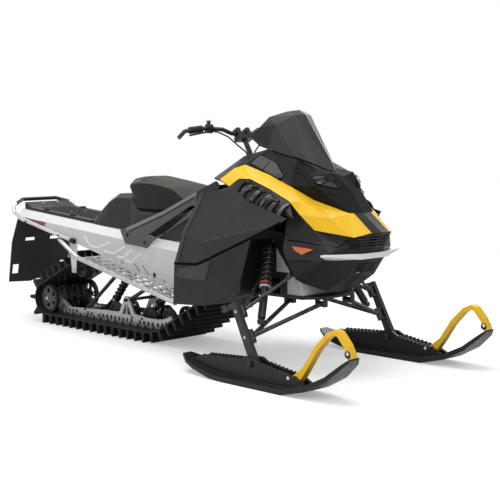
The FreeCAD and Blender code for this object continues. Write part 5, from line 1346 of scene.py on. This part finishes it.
def scuffed(tree, base):
    """Pale scratches on the sole and along the upturned tip."""
    place, _ = object_place(tree)
    facing = object_facing(tree)
    under = map_range(tree, facing.outputs["Z"], -0.1, -0.6)
    stretch = node_in(tree, "ShaderNodeMapping", Scale=(6.0, 90.0, 90.0))
    tree.links.new(place.outputs["Object"], stretch.inputs["Vector"])
    streaks = node_in(tree, "ShaderNodeTexNoise", Scale=1.0, Detail=5.0, Roughness=0.7)
    tree.links.new(stretch.outputs["Vector"], streaks.inputs["Vector"])
    mask = product(tree, map_range(tree, streaks.outputs["Fac"], 0.45, 0.70), under)
    return mix_colour(tree, mask, base, (0.20, 0.20, 0.205))


yellow = finish("yellow_moulding", YELLOW, 0.36, worn=(0.95, 0.80, 0.45), wear=0.3, dust=0.0,
                grain=(300.0, 0.04), coat=0.05, varied=0.03, specular=0.22)
ski_black = finish("ski_plastic", (0.010, 0.010, 0.011), 0.36, wear=0.8, worn=(0.12, 0.12, 0.12),
                   grain=(500.0, 0.2),
                   dust=0.03, paint=scuffed, specular=0.3)
pale_bolt = finish("pale_bolts", (0.78, 0.78, 0.77), 0.35, grain=(900.0, 0.1), metallic=0.2)
pivot_bolt = hex_bolt(0.012)
for side, sign in (("right", -1), ("left", 1)):
    body = f"ski_{side}"
    ski = clean_copy(body, f"{body}_keel")
    round_edges(ski, 0.0022, low=20)
    settle(ski, ski_black, body, smooth=40)
    loop = clean_copy(f"ski_loop_{side}", f"{body}_loop_band")
    round_edges(loop, 0.022, low=6, high=50, segments=5)
    round_edges(loop, 0.006, low=50, segments=4)
    settle(loop, yellow, f"ski_loop_{side}", smooth=60)
    ends = []
    for end in (-1, 1):
        centre = Vector((SKI_BOLT.x, sign * SKI_BOLT.y + end * SKI_PIVOT_REACH, SKI_BOLT.z))
        ends.append((centre, (0, end, 0)))
    settle(place_copies(f"{body}_pivot_bolt", pivot_bolt, ends), black_bolt, body=body)
    clamps = []
    screws = []
    for end in (-1, 1):
        clamp_place = Vector((LOOP_SCREW[0], sign * SKI_BOLT.y + end * 0.0206, LOOP_SCREW[1]))
        clamps.append(ring("clamp", clamp_place, (0, end, 0), 0.0165, 0.005, edge=0.0015))
        screws.append((clamp_place + Vector((0.002, end * 0.0026, 0.004)), (0, end, 0)))
        side_place = (SIDE_SCREW[0], sign * SKI_BOLT.y + end * SIDE_SCREW_REACH, SIDE_SCREW[1])
        screws.append((side_place, (0, end, 0)))
    settle(join(clamps, f"{body}_loop_clamps"), black, body=body)
    settle(place_copies(f"{body}_screws", small_bolt, screws), pale_bolt, body=body)
bpy.data.objects.remove(pivot_bolt)


# Side and foot covers.  Charcoal mouldings with crisp folds over the engine and the foot wells,
# clipped to the hood along its rim.  Each fold and rim gets its own radius.
def soften(piece, fold=0.0032, rim=0.0012):
    """Rounds a panel's folds, then its thin rims."""
    round_edges(piece, fold, low=5, high=70, segments=3)
    round_edges(piece, rim, low=70, high=181, segments=2)


charcoal = finish("charcoal_moulding", (0.021, 0.021, 0.022), 0.36, worn=(0.11, 0.11, 0.11), wear=0.6,
                  grain=(700.0, 0.18), dust=0.03, specular=0.28)
hood_black = finish("hood_moulding", (0.012, 0.012, 0.013), 0.36, worn=(0.09, 0.09, 0.09), wear=0.6,
                    grain=(700.0, 0.18), dust=0.02, specular=0.26)
side_panels = clean_copy("side_panels", "side_covers")
soften(side_panels)
settle(side_panels, charcoal, "side_panels")
foot_panels = clean_copy("foot_panels", "foot_covers")
soften(foot_panels)
settle(foot_panels, hood_black, "foot_panels")

# Hood and console.  A folded black shell over the engine, moulded in one with the brow over the
# lamps, and the dash console that closes it towards the rider.
hood_deep = finish("hood_upper", (0.0070, 0.0070, 0.0072), 0.40, worn=(0.09, 0.09, 0.09), wear=0.6,
                   grain=(700.0, 0.18), dust=0.0, specular=0.14)
hood = clean_copy("hood", "hood_shell")
soften(hood, fold=0.0040)
settle(hood, hood_deep, "hood")
console = clean_copy("console", "console_shell")
soften(console)
settle(console, black, "console")

# Belly pan, vents and nose cap.  Black mouldings that close the front.  Both grilles are painted
# deep black between their bars as shade, the side marker sits in a paler belt, and the stripes'
# yellow runs on over the cap's shoulders.
BAND_ZONE = ((1.262, 1.400), (0.622, 0.700))
GRILLE_ZONE = ((1.205, 1.300), (0.503, 0.572))
GRILLE_REACH = 0.098
MARKER_ZONE = ((0.900, 1.235), (0.566, 0.662))
NOSE_STRIPE = 0.062
VENT_TUCK = (1.020, 0.045)
NOSE_STRIPE_ZONE = ((1.225, 1.400), (0.702, 0.850))


def grille_shadow(tree, base):
    """Painted shade, deep black, behind both grilles, and a paler belt round the side marker."""
    place, split = object_place(tree)
    facing = tree.nodes.new("ShaderNodeSeparateXYZ")
    tree.links.new(place.outputs["Normal"], facing.inputs["Vector"])
    across = node_in(tree, "ShaderNodeMath", operation="ABSOLUTE")
    tree.links.new(split.outputs["Y"], across.inputs[0])
    near = map_range(tree, across.outputs[0], GRILLE_REACH, GRILLE_REACH - 0.002)
    upright = map_range(tree, facing.outputs["Z"], 0.45, 0.35)
    belt = mix_colour(tree, zone(tree, split, *MARKER_ZONE), base, (0.024, 0.024, 0.025))
    band = mix_colour(tree, product(tree, zone(tree, split, *BAND_ZONE), upright), belt,
                      (0.002, 0.002, 0.002))
    return mix_colour(tree, product(tree, zone(tree, split, *GRILLE_ZONE), near), band,
                      (0.002, 0.002, 0.002))


def nose_stripe(tree, base):
    """The yellow of the stripes runs on over the shoulders of the nose cap."""
    _, split = object_place(tree)
    facing = object_facing(tree)
    across = magnitude(tree, split.outputs["Y"])
    mask = product(tree, map_range(tree, across, NOSE_STRIPE, NOSE_STRIPE + 0.001),
                   zone(tree, split, *NOSE_STRIPE_ZONE))
    mask = product(tree, mask, map_range(tree, facing.outputs["Z"], 0.25, 0.35))
    return mix_colour(tree, mask, grille_shadow(tree, base), YELLOW)


nose_paint = finish("nose_moulding", (0.0085, 0.0085, 0.009), 0.30, grain=(700.0, 0.10), dust=0.0,
                    paint=nose_stripe, specular=0.18)
belly_paint = finish("belly_moulding", (0.012, 0.012, 0.013), 0.36, worn=(0.09, 0.09, 0.09), wear=0.6,
                     grain=(700.0, 0.18), dust=0.0, paint=grille_shadow, specular=0.24)
belly = clean_copy("belly_pan", "belly_pan_shell")
soften(belly)
settle(belly, belly_paint, "belly_pan")
vents = clean_copy("hood_vents", "hood_vent_louvres")
for vertex in vents.data.vertices:
    if vertex.co.x > VENT_TUCK[0]:
        vertex.co.y -= math.copysign(min(VENT_TUCK[1], (vertex.co.x - VENT_TUCK[0]) * 1.2), vertex.co.y)
round_edges(vents, 0.0014, low=30)
settle(vents, black, "hood_vents")
nose = clean_copy("nose_cap", "nose_cap_shell")
soften(nose)
settle(nose, nose_paint, "nose_cap")

# Hatches, patches and seams.  Thin plates and black beads over the folded shells: the hood's
# hatch with its latch, the foot covers' patch, the side covers' rear rim, the lines where panels
# meet, and beads of painted shadow under the side covers' lower edge and of painted shade along the
# belly's crease.  Each plate is laid on from one side, so that it stays outside the folds.
SKIN_CUTS = 6
SKIN_START = 0.05
HOOD_AIM = (0.31, -0.80, 0.52)
SEAM_STEP = 0.008
HATCH_RISE = 0.012
HATCH = ((0.6805, -0.2135, 1.0278), (0.7096, -0.1691, 1.0727), (0.8106, -0.1541, 1.0315),
         (0.8796, -0.1703, 0.9651), (0.8696, -0.1903, 0.9483), (0.8371, -0.1995, 0.9608))
HATCH_DIVIDER = ((0.7654, -0.2062, 0.9941), (0.7771, -0.1692, 1.0361))
LATCH = ((0.8413, -0.1854, 0.9733), (0.8581, -0.1750, 0.9742), (0.8713, -0.1857, 0.9526),
         (0.8585, -0.1931, 0.9526))
FOOT_PATCH = ((0.3638, -0.4290, 0.4945), (0.4751, -0.4295, 0.5106), (0.6078, -0.4183, 0.5472),
              (0.5738, -0.4233, 0.4444), (0.3519, -0.4267, 0.4467))
SIDE_EDGE = ((0.3411, -0.4298, 0.5094), (0.4204, -0.4296, 0.5091), (0.4908, -0.4297, 0.5143),
             (0.6013, -0.4189, 0.5593), (0.7311, -0.4020, 0.6113), (0.8568, -0.3857, 0.6642),
             (0.9500, -0.3720, 0.7100), (1.0400, -0.3620, 0.7520))
SIDE_RIM = ((0.439, -0.330, 0.884), (0.470, -0.334, 0.877), (0.450, -0.388, 0.762), (0.424, -0.420, 0.682),
            (0.366, -0.430, 0.514), (0.337, -0.430, 0.514), (0.397, -0.420, 0.682), (0.422, -0.390, 0.758))
HOOD_SEAM = ((1.0260, -0.2950, 0.8254), (1.0203, -0.2621, 0.7853), (1.0633, -0.2521, 0.7340),
             (1.1029, -0.2458, 0.6879))
BELLY_SEAM = ((0.9837, -0.2601, 0.6630), (1.0670, -0.2566, 0.6579), (1.1654, -0.2367, 0.6481),
              (1.2386, -0.1794, 0.6342), (1.2441, -0.1481, 0.6513), (1.2704, -0.1424, 0.6714))
BELLY_CREASE = ((1.0041, -0.2474, 0.5615), (1.1116, -0.2350, 0.5681), (1.2526, -0.1437, 0.5708))
BROW_LINES = (((0.9344, -0.1440, 0.9843), (0.9673, -0.1466, 0.9833), (1.0203, -0.1637, 0.9569),
               (1.0567, -0.1674, 0.9216), (1.1052, -0.1494, 0.8933), (1.1502, -0.1136, 0.8788),
               (1.1772, -0.0615, 0.8765)), ((0.9083, -0.1309, 1.0082), (0.9775, -0.1396, 0.9969),
                                            (1.0088, -0.1231, 0.9944), (1.0598, -0.1210, 0.9805)))
light_charcoal = finish("light_charcoal", (0.036, 0.036, 0.037), 0.36, worn=(0.14, 0.14, 0.14),
                        grain=(700.0, 0.18),
                        dust=0.02, specular=0.3)


def thicken(piece, thickness):
    """Gives the active sheet its thickness, half to each side."""
    shell = piece.modifiers.new("shell", "SOLIDIFY")
    shell.thickness = thickness
    shell.offset = 0
    bpy.ops.object.modifier_apply(modifier=shell.name)


def skin(name, corners, target, aim, thickness=0.0018, lift=0.0012, dome=0.0, reach=0.022):
    """A thin plate laid over a folded surface from the side of aim; dome is the rise of its middle."""
    corners = [Vector(corner) for corner in corners]
    aim = Vector(aim).normalized()
    made = cut_sheet(name, corners)
    pick(made)
    bpy.ops.object.mode_set(mode="EDIT")
    bpy.ops.mesh.select_all(action="SELECT")
    bpy.ops.mesh.quads_convert_to_tris(quad_method="BEAUTY", ngon_method="BEAUTY")
    bpy.ops.mesh.subdivide(number_cuts=SKIN_CUTS)
    bpy.ops.object.mode_set(mode="OBJECT")
    for vertex in made.data.vertices:
        away = min(segment_reach(vertex.co, a, b) for a, b in zip(corners, corners[1:] + corners[:1]))
        hit, spot, normal, face = target.ray_cast(vertex.co + aim * SKIN_START, -aim,
                                                  distance=2 * SKIN_START)
        if hit:
            vertex.co = spot
        vertex.co += aim * (lift + thickness / 2 + dome * math.sin(min(1.0, away / reach) * math.pi / 2))
    calm = made.modifiers.new("calm", "SMOOTH")
    calm.iterations = 6 if dome else 1
    bpy.ops.object.modifier_apply(modifier=calm.name)
    thicken(made, thickness)
    return made


def seam(name, route, target, radius, sink=0.4):
    """A thin bead that follows a route over a surface, sunk by a share of its radius."""
    laid = []
    route = [Vector(point) for point in route]
    for a, b in zip(route, route[1:]):
        count = max(2, round((b - a).length / SEAM_STEP))
        laid += [a + (b - a) * index / count for index in range(count)]
    laid.append(route[-1])
    for index, point in enumerate(laid):
        found, spot, normal, face = target.closest_point_on_mesh(point)
        laid[index] = spot - normal * radius * sink
    return tube(name, laid, radius, straight=True, around=1)


hatch = skin("hatch", HATCH, hood, HOOD_AIM)
raised = Vector(HOOD_AIM) * HATCH_RISE
rim_route = [Vector(point) + raised for point in HATCH + HATCH[:1]]
divider_route = [Vector(point) + raised for point in HATCH_DIVIDER]
hatch_beads = [seam("hatch_rim", rim_route, hatch, 0.0020, sink=0.2),
               seam("divider", divider_route, hatch, 0.0018, sink=0.0)]
settle_pair(join(hatch_beads, "hatch_rim"), gap_black, "hatch_rim", smooth=60)
settle_pair(hatch, light_charcoal, "hood_hatch")
settle_pair(skin("latch", LATCH, hood, HOOD_AIM, thickness=0.0060), black, "hatch_latch")
settle_pair(skin("patch", FOOT_PATCH, foot_panels, (0, -1, 0)), light_charcoal, "foot_patch")
settle_pair(skin("side_rim", SIDE_RIM, side_panels, (0, -0.95, 0.3)), light_charcoal, "side_rim")
# A black bead of painted shadow under the side covers' overhanging lower edge.
settle_pair(seam("side_edge", SIDE_EDGE, side_panels, 0.0065), gap_black, "side_edge_shadow", smooth=60)
hood_beads = [seam("hood_seam", route, hood, 0.0022) for route in (HOOD_SEAM, *BROW_LINES)]
settle_pair(join(hood_beads, "hood_seams"), gap_black, "hood_seams", smooth=60)
# The crease bead is painted shade along the belly's fold; the seam bead marks the joint between panels.
belly_beads = [seam("belly_seam", BELLY_SEAM, belly, 0.0032),
               seam("belly_crease_shade", BELLY_CREASE, belly, 0.0026)]
settle_pair(join(belly_beads, "belly_seams"), gap_black, "belly_seams", smooth=60)

# Grille bars.  Thin charcoal bars moulded across the nose opening and the lower grille; a border
# frames the lower one, and a black sheet of painted shade closes its slots from inside.
LOWER_GRILLE = ((1.283, -0.105, 0.572), (1.283, 0.105, 0.572), (1.240, 0.085, 0.503),
                (1.240, -0.085, 0.503))
GRILLE_BARS = 5
BAR_RADIUS = 0.0014
NOSE_BAR_TOP = (1.354, 0.699)
NOSE_BAR_RUN = (0.042, 0.077)
LOWER_BAR_TOP = (1.283, 0.572)
LOWER_BAR_RUN = (0.043, 0.069)
LOWER_BAR_HALF = 0.095
BACKING_DEPTH = 0.020


def shell_of(pieces):
    """Copies of finished pieces joined, for laying plates and seams across their joints."""
    return join([fresh_copy(piece.data, "shell") for piece in pieces], "shell")


front_shell = shell_of((nose, belly))
bars = []
for index in range(GRILLE_BARS):
    share = (index + 0.7) / (GRILLE_BARS + 0.4)
    across = 0.125 - 0.020 * share
    x, z = NOSE_BAR_TOP[0] - NOSE_BAR_RUN[0] * share, NOSE_BAR_TOP[1] - NOSE_BAR_RUN[1] * share
    nose_bar = ((x - 0.045, -across, z), (x - 0.006, -0.082, z), (x, 0, z),
                (x - 0.006, 0.082, z), (x - 0.045, across, z))
    bars.append(seam("bar", nose_bar, front_shell, BAR_RADIUS, sink=0.0))
    x, z = LOWER_BAR_TOP[0] - LOWER_BAR_RUN[0] * share, LOWER_BAR_TOP[1] - LOWER_BAR_RUN[1] * share
    lower_bar = ((x, -LOWER_BAR_HALF, z), (x, LOWER_BAR_HALF, z))
    bars.append(seam("bar", lower_bar, front_shell, BAR_RADIUS, sink=0.0))
bars.append(seam("border", LOWER_GRILLE + LOWER_GRILLE[:1], front_shell, 0.0030, sink=0.2))
settle(join(bars, "grille_bars"), light_charcoal, smooth=60)
# A black sheet of painted shade behind the lower grille's slots.
shade_sheet = plate("grille_shade_sheet", [(x - BACKING_DEPTH, y * 0.9, z) for x, y, z in LOWER_GRILLE], 0.0015)
settle(shade_sheet, gap_black)
bpy.data.objects.remove(front_shell)

# Vent blades.  Five curved blades of glossy black plastic on each side, clipped into the vents
# from the stripe above to the side cover below.
VANE_TOPS = ((0.7926, -0.3075, 0.9206), (0.8445, -0.2900, 0.9066), (0.9207, -0.3040, 0.8800),
             (0.9647, -0.2870, 0.8613), (1.0061, -0.2813, 0.8432))
VANE_FEET = ((0.7236, -0.3239, 0.8852), (0.8176, -0.3458, 0.8545), (0.8739, -0.3397, 0.8318),
             (0.9404, -0.3445, 0.8103), (1.0052, -0.3487, 0.7892))
VANE_WIDTH = 0.031
VANE_BULGE = 0.010
VANE_THICKNESS = 0.0030


def blade(top, foot):
    """A curved louvre blade from top to foot, crowned across its width."""
    made = started(bpy.ops.mesh.primitive_grid_add, x_subdivisions=6, y_subdivisions=12, size=1)
    run = foot - top
    outward = Vector((0, -1, 0.5)).normalized()
    across = run.cross(outward).normalized()
    outward = across.cross(run).normalized()
    for vertex in made.data.vertices:
        u, v = vertex.co.x, vertex.co.y + 0.5
        rise = VANE_BULGE * math.sin(math.pi * v) - VANE_WIDTH * 0.9 * u * u
        vertex.co = top + run * v + across * VANE_WIDTH * u + outward * rise
    thicken(made, VANE_THICKNESS)
    return made


vane_gloss = finish("vane_gloss", (0.014, 0.016, 0.021), 0.30, grain=(900.0, 0.02), dust=0.0, coat=0.15)
vanes = [blade(Vector(top), Vector(foot)) for top, foot in zip(VANE_TOPS, VANE_FEET)]
settle_pair(join(vanes, "hood_vanes"), vane_gloss, "hood_vanes", smooth=50)


# Stripe panels.  Glossy yellow mouldings that run from the dash to the nose on both sides, let
# into the hood and rimmed by a black gap.
STRIPE_TOP = ((0.511, -0.270, 0.947), (0.593, -0.240, 1.006), (0.658, -0.225, 1.024),
              (0.802, -0.205, 0.977), (0.929, -0.180, 0.920), (1.056, -0.145, 0.854),
              (1.230, -0.086, 0.794))
STRIPE_LOW = ((0.511, -0.270, 0.947), (0.619, -0.300, 0.912), (0.682, -0.290, 0.953),
              (0.756, -0.285, 0.952), (0.891, -0.280, 0.903), (1.009, -0.270, 0.848),
              (1.054, -0.255, 0.792), (1.130, -0.225, 0.712), (1.296, -0.135, 0.682))
stripes = clean_copy("hood_stripes", "stripe_panels")
soften(stripes, fold=0.0030, rim=0.0016)
settle(stripes, yellow, "hood_stripes")
rim_beads = [seam("stripe_rim", route, stripes, 0.0018, sink=0.3) for route in (STRIPE_TOP, STRIPE_LOW)]
settle_pair(join(rim_beads, "stripe_rims"), gap_black, "stripe_rims", smooth=60)


# Headlamps.  A domed gloss black cover under the brow on each side, with one round clear lens
# over a bowl whose bright white is a painted reflection.
LAMP_FACE = ((1.048, -0.158, 0.972), (1.112, -0.078, 0.984), (1.158, -0.078, 0.902), (1.082, -0.165, 0.922))
POD = ((1.0532, -0.1600, 0.9598), (1.0649, -0.1408, 0.9690), (1.1025, -0.1107, 0.9664),
       (1.1342, -0.0670, 0.9464), (1.1529, -0.0556, 0.9151), (1.1538, -0.0818, 0.9040),
       (1.1146, -0.1241, 0.9166), (1.0732, -0.1639, 0.9315))
POD_RISE = 0.006
LENS_PLACE = Vector((1.0836, -0.1363, 0.9428))
LENS_RADIUS = 0.021

gloss_black = finish("gloss_black", (0.004, 0.004, 0.005), 0.24, wear=0.1, grain=(900.0, 0.02), dust=0.0,
                     coat=0.10,
                     specular=0.18)


def bowl_glass():
    """Clear lens plastic, a thin clean dielectric."""
    look = bpy.data.materials.new("clear_lens")
    look.use_nodes = True
    tree = look.node_tree
    shader = tree.nodes["Principled BSDF"]
    grained = place_group(tree, surface_grain, Scale=200.0, Depth=0.02)
    tree.links.new(grained.outputs["Normal"], shader.inputs["Normal"])
    shader.inputs["Base Color"].default_value = (0.95, 0.97, 1.0, 1)
    shader.inputs["Roughness"].default_value = 0.03
    shader.inputs["Transmission Weight"].default_value = 1.0
    shader.inputs["IOR"].default_value = 1.45
    return look


lamp_across = Vector(LAMP_FACE[1]) - Vector(LAMP_FACE[0])
lamp_down = Vector(LAMP_FACE[3]) - Vector(LAMP_FACE[0])
lamp_normal = lamp_down.cross(lamp_across).normalized()
lens_centre = LENS_PLACE + lamp_normal * (POD_RISE + 0.002)


def dark_rim(tree, base):
    """The bowl is black round its rim and bright inside, where its white is a painted reflection, on both
    sides of the machine.
    """
    place, _ = object_place(tree)
    either = node_in(tree, "ShaderNodeVectorMath", operation="ABSOLUTE")
    tree.links.new(place.outputs["Object"], either.inputs[0])
    away = node_in(tree, "ShaderNodeVectorMath", operation="DISTANCE")
    tree.links.new(either.outputs["Vector"], away.inputs[0])
    away.inputs[1].default_value = (lens_centre.x, abs(lens_centre.y), lens_centre.z)
    return mix_colour(tree, map_range(tree, away.outputs["Value"], 0.0172, 0.0166), (0.005, 0.005, 0.005),
                      base)


clear = bowl_glass()
# The bowl is plain white, not a mirror: its brightness is a painted reflection.
painted_reflection_bowl = finish("lamp_bowl_painted_reflection", (0.93, 0.94, 0.95), 0.30, wear=0.0, dust=0.0, metallic=0.0,
                     grain=(260.0, 0.3),
                     varied=0.10, paint=dark_rim)
lamp_body = clean_copy("headlamps", "headlamp_housings")
for side in (-1, 1):
    pick(lamp_body)
    bpy.ops.object.mode_set(mode="EDIT")
    bpy.ops.mesh.select_all(action="SELECT")
    bpy.ops.mesh.bisect(plane_co=(LENS_PLACE - lamp_normal * 0.002) * Vector((1, -side, 1)),
                        plane_no=lamp_normal * Vector((1, -side, 1)), use_fill=True, clear_outer=True)
    bpy.ops.object.mode_set(mode="OBJECT")
round_edges(lamp_body, 0.002)
settle(lamp_body, gloss_black, "headlamps")
eye = skin("eye", POD, hood, lamp_normal, thickness=0.003, dome=POD_RISE)
lamp_ring = ring("lamp_ring", lens_centre, lamp_normal, LENS_RADIUS, 0.010, edge=0.0015, vertices=40)
pick(lamp_ring)
bpy.ops.object.mode_set(mode="EDIT")
bpy.ops.mesh.select_mode(type="FACE")
bpy.ops.mesh.select_all(action="DESELECT")
bpy.ops.object.mode_set(mode="OBJECT")
front = max(lamp_ring.data.polygons, key=lambda polygon: polygon.center.dot(lamp_normal))
front.select = True
bpy.ops.object.mode_set(mode="EDIT")
bpy.ops.mesh.inset(thickness=0.002, depth=0)
bpy.ops.mesh.inset(thickness=0.006, depth=-0.005)
bpy.ops.mesh.inset(thickness=0.005, depth=-0.001)
bpy.ops.object.mode_set(mode="OBJECT")
cover = started(bpy.ops.mesh.primitive_uv_sphere_add, segments=32, ring_count=16,
                radius=LENS_RADIUS - 0.0018,
                scale=(1, 1, 0.14))
bpy.ops.object.transform_apply(scale=True)
lens_lean = lamp_normal.to_track_quat("Z", "Y").to_matrix().to_4x4()
cover.data.transform(Matrix.Translation(lens_centre + lamp_normal * 0.0030) @ lens_lean)
settle_pair(eye, gloss_black, "headlamp_cover", smooth=60)
settle_pair(lamp_ring, painted_reflection_bowl, "headlamp_bowl", smooth=45)
settle_pair(cover, clear, "headlamp_lens", smooth=45)


# Side markers.  Moulded amber lenses with prismatic cells, let into the belly pan under its
# seam on both sides.
amber_lens = lens("amber_marker", (0.90, 0.27, 0.03), (0.62, 0.13, 0.01), scale=190.0)
markers = clean_copy("side_markers", "side_marker_lenses")
round_edges(markers, 0.0015, low=40)
settle(markers, amber_lens, "side_markers")


# Bumper.  A satin painted metal band across the nose, its ends drawn to a point along the top
# edge, bolted on through the belly pan.
BUMPER_TAPER = (0.222, 0.297)
satin = finish("satin_band", (0.84, 0.84, 0.85), 0.34, worn=(0.85, 0.85, 0.85), metallic=0.1,
               grain=(900.0, 0.06),
               varied=0.04)
bumper = clean_copy("front_bumper", "front_bumper_band")
bumper_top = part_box("front_bumper")[1][2]
for vertex in bumper.data.vertices:
    taper = max(0.0, min(1.0, (abs(vertex.co.y) - BUMPER_TAPER[0]) / (BUMPER_TAPER[1] - BUMPER_TAPER[0])))
    vertex.co.z = bumper_top - (bumper_top - vertex.co.z) * (1 - 0.72 * taper)
    vertex.co.x += 0.008 * taper
    vertex.co.y -= math.copysign(0.022 * taper, vertex.co.y)
round_edges(bumper, 0.005, low=40, segments=4)
settle(bumper, satin, "front_bumper", smooth=50)


# Windshield.  A dark smoked plastic screen with soft folds and a thick rolled brim, set on the
# hood along a black seam.
screen_look = finish("dark_screen", (0.012, 0.012, 0.013), 0.38, worn=(0.10, 0.10, 0.10), wear=0.5,
                     grain=(900.0, 0.02),
                     dust=0.02, specular=0.4)
shield = clean_copy("windshield", "windshield_screen")
round_edges(shield, 0.010, low=5, high=70, segments=4)
round_edges(shield, 0.0012, low=70, high=181, segments=2)
settle(shield, screen_look, "windshield", smooth=50)
SHIELD_BASE = ((0.7633, -0.1352, 1.0893), (0.8368, -0.1209, 1.0667), (0.9088, -0.1049, 1.0519),
               (0.9715, -0.0833, 1.0297), (1.0203, -0.0496, 1.0050), (1.0600, -0.0150, 0.9850))
screen_shell = shell_of((hood, shield))
settle_pair(seam("shield_base", SHIELD_BASE, screen_shell, 0.0040, sink=0.3), gap_black, "windshield_base",
            smooth=60)
bpy.data.objects.remove(screen_shell)


# Steering post and handlebar.  A black enamelled tube in the braces' bearing, with two clamp
# blocks for the bar and four zinc bolts in their tops.
POST_TOP = Vector((0.400, 0, 1.180))
POST_AXIS = Vector((-0.5, 0, 0.866025))

post = clean_copy("steering_post", "steering_post_tube")
round_edges(post, 0.0020, low=50)
settle(post, enamel, "steering_post", smooth=40)
bar = clean_copy("handlebar", "handlebar_tube")
settle(bar, enamel, "handlebar", smooth=50)
clamp_bolts = []
forward = Vector((0.866025, 0, 0.5))
for y in (-0.034, 0.034):
    for reach in (-0.0145, 0.0145):
        clamp_bolts.append((POST_TOP + Vector((0, y, 0)) + forward * reach + POST_AXIS * 0.0261, POST_AXIS))
settle(place_copies("clamp_bolts", small_bolt, clamp_bolts), zinc, body="steering")


# Grips.  Soft rubber sleeves pushed over both ends of the bar, each with moulded ribs round
# it and an end flange.
BAR_PATH = (Vector((0.388, -0.130, 1.202)), Vector((0.370, -0.238, 1.208)), Vector((0.338, -0.348, 1.194)))
GRIP_SPAN = (0.12, 0.80)
GRIP_RIBS = 9
GRIP_RIB = (0.0168, 0.0019)

grip_rubber = finish("grip_rubber", (0.011, 0.011, 0.0115), 0.60, grain=(500.0, 0.6), dust=0.02,
                     specular=0.3)
grips = clean_copy("grips", "grip_sleeves")
round_edges(grips, 0.003, low=50, segments=3)
settle(grips, grip_rubber, "grips", smooth=40)
grip_run = BAR_PATH[2] - BAR_PATH[1]
rib_ring = started(bpy.ops.mesh.primitive_torus_add, major_segments=30, minor_segments=8,
                   major_radius=GRIP_RIB[0],
                   minor_radius=GRIP_RIB[1])
rib_places = []
for index in range(GRIP_RIBS):
    share = GRIP_SPAN[0] + (GRIP_SPAN[1] - GRIP_SPAN[0]) * (index + 0.8) / (GRIP_RIBS + 0.6)
    point = BAR_PATH[1] + grip_run * share
    rib_places.append((point, grip_run))
    rib_places.append((point * Vector((1, -1, 1)), grip_run * Vector((1, -1, 1))))
settle(place_copies("grip_ribs", rib_ring, rib_places), grip_rubber, body="steering",
       smooth=60)
bpy.data.objects.remove(rib_ring)


# Hand controls and cables.  Black switch blocks and levers, a red stop button on the right, and
# two cables along the bar to a clip on the post.
BUTTON_FOOT = BAR_PATH[0] + (BAR_PATH[1] - BAR_PATH[0]) * 0.76
BUTTON_RUN = Vector((-0.004, 0, 0.038))

controls = clean_copy("hand_controls", "hand_control_blocks")
round_edges(controls, 0.0016, low=50)
settle(controls, black, "hand_controls", smooth=40)
button = ring("stop_button", BUTTON_FOOT + BUTTON_RUN, BUTTON_RUN, 0.0125, 0.009, edge=0.003)
settle(button, adjuster_red, body="steering", smooth=60)
cables = clean_copy("control_cables", "control_cable_runs")
settle(cables, black, "control_cables", smooth=50)

bpy.data.objects.remove(small_bolt)
bpy.data.objects.remove(brace_bolt)
